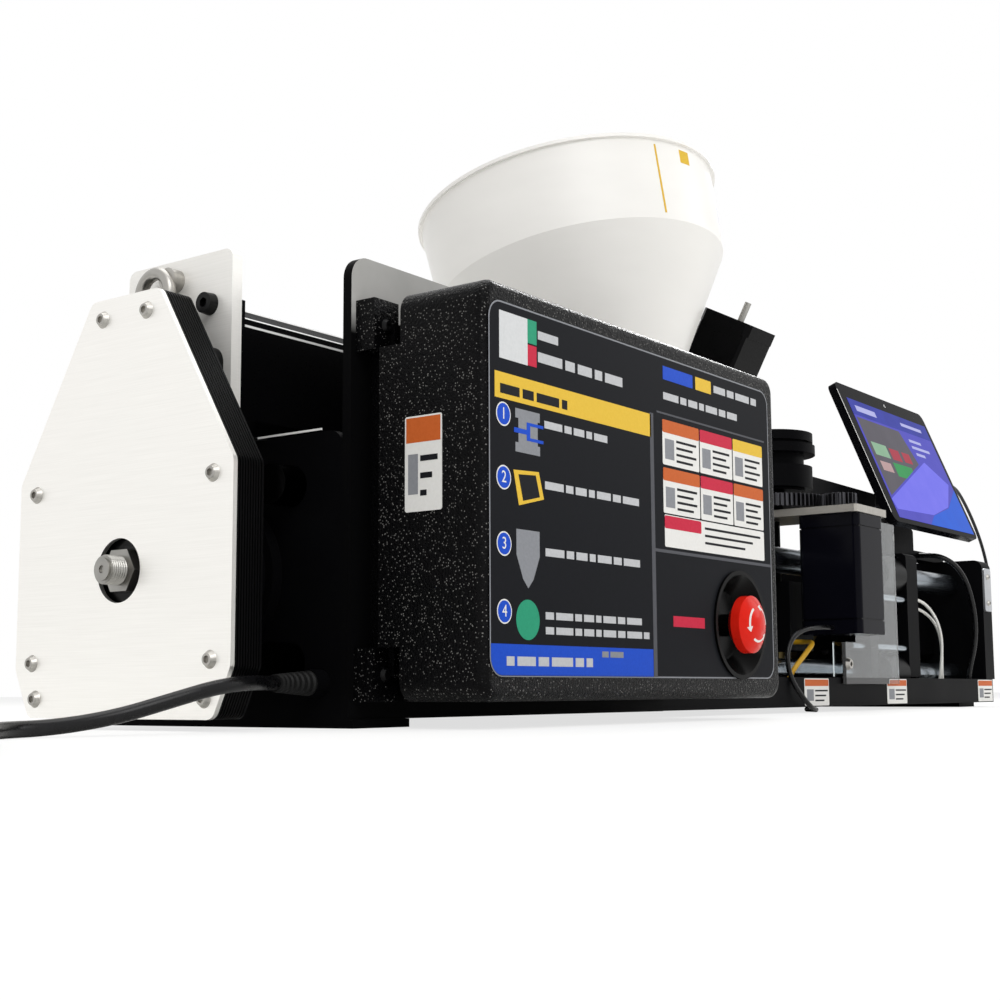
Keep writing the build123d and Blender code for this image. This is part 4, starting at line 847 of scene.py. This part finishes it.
# screws: where they stand, which way they face, and their sizes in millimetres
screws = {
    "coverScrews": {
        "finish": brightScrew, "turn": (0, -90, 0), "head": (5.2, 3.4, 2.8), "socket": (2.3, 1.7),
        "at": [(-109, y, z) for y, z in ((19.4, 241.4), (-19.4, 241.4), (77.6, 140.9), (-77.6, 140.9), (77.6, 38.8),
                                         (-77.6, 38.8), (73.6, 17.6), (-73.6, 17.6))],
    },
    "endPlateScrews": {
        "finish": oxideScrew, "turn": (0, -90, 0), "head": (6.8, 6.3, 6.0), "socket": (3.2, 3.0),
        "at": [(-68, 28, 252), (-68, -28, 252)],
    },
    "boxFootScrews": {
        "finish": oxideScrew, "turn": (90, 0, 0), "head": (4.2, 3.0, 2.4), "socket": (1.8, 1.3),
        "at": [(-10, -117, 30.5), (329, -117, 30.5), (-10, -117, 236.5), (329, -117, 236.5)],
    },
    "guardScrew": {
        "finish": brightScrew, "turn": (90, 0, 0), "head": (6.4, 4.4, 3.2), "socket": (2.6, 1.9),
        "at": [(688, -100, 45)],
    },
    "strapScrews": {
        "finish": brightScrew, "turn": (90, 0, 0), "head": (3.6, 2.6, 2.0), "socket": (1.6, 1.2),
        "at": [(1109.5, -98.4, 122), (1109.5, -98.4, 153)],
    },
    "valvePlateScrews": {
        "finish": oxideScrew, "turn": (0, 0, 0), "head": (3.4, 3.1, 2.6), "socket": (1.6, 1.4),
        "at": [(645, -128, 192), (692, -128, 192)],
    },
}


def addScrews(name, spec, tree):
    mesh = bpy.data.meshes.new(name)
    mesh.from_pydata([Vector(p) * mm for p in spec["at"]], [], [])
    obj = bpy.data.objects.new(name, mesh)
    bpy.context.collection.objects.link(obj)
    modifier = obj.modifiers.new("screwHeads", "NODES")
    modifier.node_group = tree
    headR, crownR, height = (s * mm for s in spec["head"])
    given = {
        "Head Radius": headR, "Crown Radius": crownR, "Head Height": height,
        "Socket Radius": spec["socket"][0] * mm, "Socket Depth": spec["socket"][1] * mm,
        "Turn": [math.radians(a) for a in spec["turn"]], "Finish": spec["finish"],
    }
    for item in tree.interface.items_tree:
        if item.in_out == "INPUT" and item.name in given:
            modifier[item.identifier] = given[item.name]
    made = bpy.data.meshes.new_from_object(obj.evaluated_get(bpy.context.evaluated_depsgraph_get()))
    bpy.data.objects.remove(obj)
    addMesh(name, made, spec["finish"], "frame")


headTree = screwHeadTree()
for screwName, screwSpec in screws.items():
    addScrews(screwName, screwSpec, headTree)
print("screws driven")

# the tablet's lit screen, and a painted highlight along its left edge
tabletFront = {
    "middle": (976.0, -58.0, 278.0),
    "out": (0.0, -0.9265, 0.3762),
    "half": (131.0, 86.0),
    "corner": 10.0,
    "rim": (0.9, -0.6, 0.25),
    "screen": (-112.0, 122.0, 68.0, -80.0),
    "lens": (5.0, 77.0, 2.0, 1.1),
    "fields": [
        ("violet", 0, rect(0, 1, 1, 0)),
        ("night", 1, rect(0, 1, 0.14, 0)),
        ("pale", 2, rect(0.06, 0.30, 0.10, 0.05)),
        ("pale", 2, rect(0.62, 0.9, 0.09, 0.06)),
        ("panel", 1, [(0.02, 0.82), (0.62, 0.44), (0.54, 0.16), (0.02, 0.16)]),
        ("mint", 2, rect(0.06, 0.24, 0.47, 0.36)),
        ("rose", 2, rect(0.27, 0.39, 0.47, 0.37)),
        ("rose", 2, rect(0.43, 0.53, 0.46, 0.37)),
        ("dust", 2, rect(0.07, 0.2, 0.6, 0.52)),
        ("leaf", 2, [(0.24, 0.62), (0.34, 0.62), (0.48, 0.53), (0.48, 0.5), (0.24, 0.5)]),
        ("pale", 2, rect(0.64, 0.80, 0.23, 0.205)),
        ("pale", 2, rect(0.64, 0.88, 0.29, 0.265)),
        ("pale", 2, rect(0.66, 0.78, 0.35, 0.325)),
        ("deep", 1, [(0.40, 1), (1, 1), (1, 0.6), (0.78, 0.8), (0.5, 0.91)]),
        ("lilac", 2, [(0.02, 0.93), (0.5, 0.905), (0.78, 0.79), (0.95, 0.56), (0.72, 0.4), (0, 0.85)]),
    ],
}


def addTabletFront(spec):
    face = faceFrame(spec["middle"], (1, 0, 0), spec["out"])
    left, right, top, low = spec["screen"]
    fields = [(colour, layer, [(left + (right - left) * s, top + (low - top) * t) for s, t in shape])
              for colour, layer, shape in spec["fields"]]
    printFields("tabletScreen", face, fields, lights, "display")
    w, h = spec["half"]
    wide, low, high = spec["rim"]
    # painted highlight: a pale strip along the tablet's left edge
    bm = bmesh.new()
    addPrism(bm, face, rect(-w, -w + wide, spec["corner"] - h, h - spec["corner"]), low, high)
    closeMesh("tabletRim", bm, paintedHighlight, "display")
    bm = bmesh.new()
    u, v, outer, inner = spec["lens"]
    addRing(bm, face, disc(u, v, outer), disc(u, v, inner), -0.2, 0.2)
    closeMesh("tabletLensRing", bm, nickelEdge, "display")


addTabletFront(tabletFront)

# white arrows round the stop button's dome
stopArrows = {
    "middle": (275.9, -214.0, 66.2), "domeR": 34.02, "inner": 11.2, "outer": 12.7, "count": 3, "sweep": 70.0,
    "steps": 10, "headSweep": 18.0, "headSteps": 5, "headOver": 1.7, "tip": 0.05, "sunk": -0.3, "thick": 0.15,
}


def addStopArrows(spec):
    face = faceFrame(spec["middle"], (1, 0, 0), (0, -1, 0))
    bm = bmesh.new()

    def onDome(turn, r, lift):
        drop = spec["domeR"] - math.sqrt(spec["domeR"] ** 2 - r * r)
        return bm.verts.new(onFace(face, r * math.cos(turn), r * math.sin(turn), lift - drop))

    middle = (spec["inner"] + spec["outer"]) / 2
    half = (spec["outer"] - spec["inner"]) / 2
    for k in range(spec["count"]):
        first = 360.0 / spec["count"] * k
        steps, headSteps = spec["steps"], spec["headSteps"]
        stations = [(first + spec["sweep"] * i / steps, half) for i in range(steps + 1)]
        stations += [(first + spec["sweep"] + spec["headSweep"] * i / headSteps,
                      (half + spec["headOver"]) * (1 - i / headSteps) + spec["tip"]) for i in range(headSteps + 1)]
        rows = []
        for turn, wide in stations:
            t = math.radians(turn)
            rows.append([onDome(t, middle + s * wide, lift) for s, lift in
                         ((-1, spec["sunk"]), (1, spec["sunk"]), (1, spec["thick"]), (-1, spec["thick"]))])
        skinRows(bm, rows)
    closeMesh("stopArrows", bm, films["white"], "estop_button")


addStopArrows(stopArrows)

# small fittings cut from plate, and painted highlights, thin pale strips along edges: outline on a face, thickness
# and finish
onFront = {"right": (1, 0, 0), "out": (0, -1, 0)}
# painted highlight strips: pale lines laid on edges where light glints
paintedEdgeGlint = {"mat": paintedHighlight, "slot": "bar_steel", "low": -0.3, "high": 0.2}
fittings = {
    "mouldStrap": {**onFront, "at": (1098.0, -96.0, 112.0), "mat": aluminium, "slot": "aluminium",
                   "outline": rect(0, 23, 0, 51, 3), "low": 0.0, "high": 2.4},
    "guardStrip": {**onFront, "at": (772.0, -100.0, 109.0), "mat": films["white"], "slot": "acrylic",
                   "outline": rect(0, 9, 0, 51, 1), "low": 0.0, "high": 0.3},
    "platenEdge": {**paintedEdgeGlint, "at": (-35.0, -36.0, 174.2), "right": (0, -1, 0), "out": (-1, 0, 0),
                   "outline": rect(0, 53, -0.6, 0.6)},
    "motorEdgeTop": {**paintedEdgeGlint, "at": (-50.0, -34.5, 249.0), "right": (1, 0, 0), "out": (0, -1, 1),
                     "outline": rect(0, 118, 3.7, 5.2)},
    "motorEdgeLow": {**paintedEdgeGlint, "at": (-50.0, -34.5, 249.0), "right": (1, 0, 0), "out": (0, -1, 1),
                     "outline": rect(0, 118, -5.4, -4.0)},
    "motorEdgeSide": {**onFront, **paintedEdgeGlint, "at": (-50.0, -38.5, 241.0), "outline": rect(0, 118, -0.7, 0.7)},
}


def addFitting(name, spec):
    face = faceFrame(spec["at"], spec["right"], spec["out"])
    bm = bmesh.new()
    addPrism(bm, face, spec["outline"], spec["low"], spec["high"])
    closeMesh(name, bm, spec["mat"], "frame")


for fittingName, fittingSpec in fittings.items():
    addFitting(fittingName, fittingSpec)

# the ball screw's threaded nose outside its nut, with a centred end cap
screwNose = {"axis": (0.0, 91.0), "from": -119.6, "to": -107.0, "rootR": 8.02, "crestR": 8.6, "pitch": 1.6,
             "step": 0.2, "sides": 40, "capAt": -120.0, "capR": 6.6, "centreR": 2.3, "capLow": -0.4, "capHigh": 1.2}


def addScrewNose(spec):
    y, z = spec["axis"]
    face = faceFrame((0.0, y, z), (0, -1, 0), (-1, 0, 0))
    bm = bmesh.new()
    loops = []
    for k in range(int((spec["to"] - spec["from"]) / spec["step"]) + 1):
        w = -spec["from"] - k * spec["step"]
        loop = []
        for i in range(spec["sides"]):
            share = (w / spec["pitch"] + i / spec["sides"]) % 1.0
            r = spec["rootR"] + (spec["crestR"] - spec["rootR"]) * (1 - abs(2 * share - 1))
            turn = 2 * math.pi * i / spec["sides"]
            loop.append(bm.verts.new(onFace(face, r * math.cos(turn), r * math.sin(turn), w)))
        loops.append(loop)
    skinRows(bm, loops)
    closeMesh("screwNoseThread", bm, steel, "screw")
    face = faceFrame((spec["capAt"], y, z), (0, -1, 0), (-1, 0, 0))
    bm = bmesh.new()
    addRing(bm, face, disc(0, 0, spec["capR"]), disc(0, 0, spec["centreR"]), spec["capLow"], spec["capHigh"])
    closeMesh("screwNoseCap", bm, steel, "screw")


addScrewNose(screwNose)

# plain colour fields on the hopper's collar, by turn in degrees and height in millimetres
hopperMarks = {
    "foot": (461.0, 10.0, 200.0), "lean": 12.2, "breakH": 199.5, "breakR": 133.0, "rimH": 275.3, "rimR": 137.7,
    "steps": 8, "sunk": -0.2, "thick": 0.3,
    "fields": [("yellow", -112.2, -111.4, 205.0, 268.0), ("yellow", -99.5, -94.0, 256.0, 268.0),
               ("blue", -62.0, -58.0, 226.0, 250.0)],
}


def addHopperMarks(spec):
    lean = math.radians(spec["lean"])
    along = Vector((0, math.sin(lean), math.cos(lean)))
    side = Vector((1, 0, 0))
    across = along.cross(side)

    def onCollar(turn, high, lift):
        share = (high - spec["breakH"]) / (spec["rimH"] - spec["breakH"])
        r = spec["breakR"] + (spec["rimR"] - spec["breakR"]) * share + lift
        t = math.radians(turn)
        return (Vector(spec["foot"]) + along * high + (side * math.cos(t) + across * math.sin(t)) * r) * mm

    for k, (colour, first, last, low, high) in enumerate(spec["fields"]):
        bm = bmesh.new()
        rows = []
        for i in range(spec["steps"] + 1):
            turn = first + (last - first) * i / spec["steps"]
            rows.append([bm.verts.new(onCollar(turn, h, lift)) for h, lift in
                         ((low, spec["sunk"]), (high, spec["sunk"]), (high, spec["thick"]), (low, spec["thick"]))])
        skinRows(bm, rows)
        closeMesh(f"hopperMark.{k + 1}", bm, films[colour], "frame")


addHopperMarks(hopperMarks)
print("small fittings added")

# pale bench and soft studio light
studio = {
    "floorSize": 14.0,
    "floorColour": "#F6F6F4",
    "floorGlow": 0.72,
    "worldLight": 0.55,
    "lamps": [
        ("keySoftbox", (-1.3, -1.9, 2.1), (0.2, 0.0, 0.1), 2.0, 34.0),
        ("topSoftbox", (0.5, 0.2, 2.6), (0.5, 0.0, 0.1), 2.4, 29.0),
        ("endSoftbox", (2.4, -1.6, 1.2), (0.8, 0.0, 0.15), 1.4, 9.0),
        ("rimSoftbox", (1.8, 0.35, 1.3), (0.2, -0.15, 0.2), 0.5, 14.0),
    ],
}


def setStudio(spec):
    mesh = bpy.data.meshes.new("benchFloor")
    s = spec["floorSize"] / 2
    mesh.from_pydata([(-s, -s, 0), (s, -s, 0), (s, s, 0), (-s, s, 0)], [], [(0, 1, 2, 3)])
    floor = bpy.data.objects.new("benchFloor", mesh)
    bpy.context.collection.objects.link(floor)
    mat, tree, shader = newMaterial("paleBench", spec["floorColour"], 0.85)
    path = addNode(tree, "ShaderNodeLightPath")
    glow = addNode(tree, "ShaderNodeEmission", {"Color": hexColour("#FFFFFF"), "Strength": 1.0})
    share = addNode(tree, "ShaderNodeMath", {1: spec["floorGlow"]}, {0: path.outputs["Is Camera Ray"]},
                    operation="MULTIPLY")
    mix = addNode(tree, "ShaderNodeMixShader", None,
                  {0: share.outputs["Value"], 1: shader.outputs["BSDF"], 2: glow.outputs["Emission"]})
    tree.links.new(mix.outputs["Shader"], tree.nodes["Material Output"].inputs["Surface"])
    mesh.materials.append(mat)
    world = bpy.data.worlds.new("studioWorld")
    bpy.context.scene.world = world
    world.use_nodes = True
    tree = world.node_tree
    back = tree.nodes["Background"]
    path = addNode(tree, "ShaderNodeLightPath")
    seen = addNode(tree, "ShaderNodeMath", None,
                   {0: path.outputs["Is Camera Ray"], 1: path.outputs["Is Glossy Ray"]}, operation="MAXIMUM")
    seen = addNode(tree, "ShaderNodeMath", None,
                   {0: seen.outputs["Value"], 1: path.outputs["Is Transmission Ray"]}, operation="MAXIMUM")
    level = addNode(tree, "ShaderNodeMapRange", {"To Min": spec["worldLight"], "To Max": 1.0},
                    {"Value": seen.outputs["Value"]})
    back.inputs["Color"].default_value = hexColour("#FFFFFF")
    tree.links.new(level.outputs["Result"], back.inputs["Strength"])
    for name, place, aim, size, power in spec["lamps"]:
        lamp = bpy.data.lights.new(name, "AREA")
        lamp.shape = "DISK"
        lamp.size = size
        lamp.energy = power
        obj = bpy.data.objects.new(name, lamp)
        bpy.context.collection.objects.link(obj)
        obj.location = place
        obj.rotation_euler = (Vector(aim) - Vector(place)).to_track_quat("-Z", "Y").to_euler()
    bpy.context.scene.view_settings.view_transform = "Standard"


setStudio(studio)
print("camera, bench and lamps set")
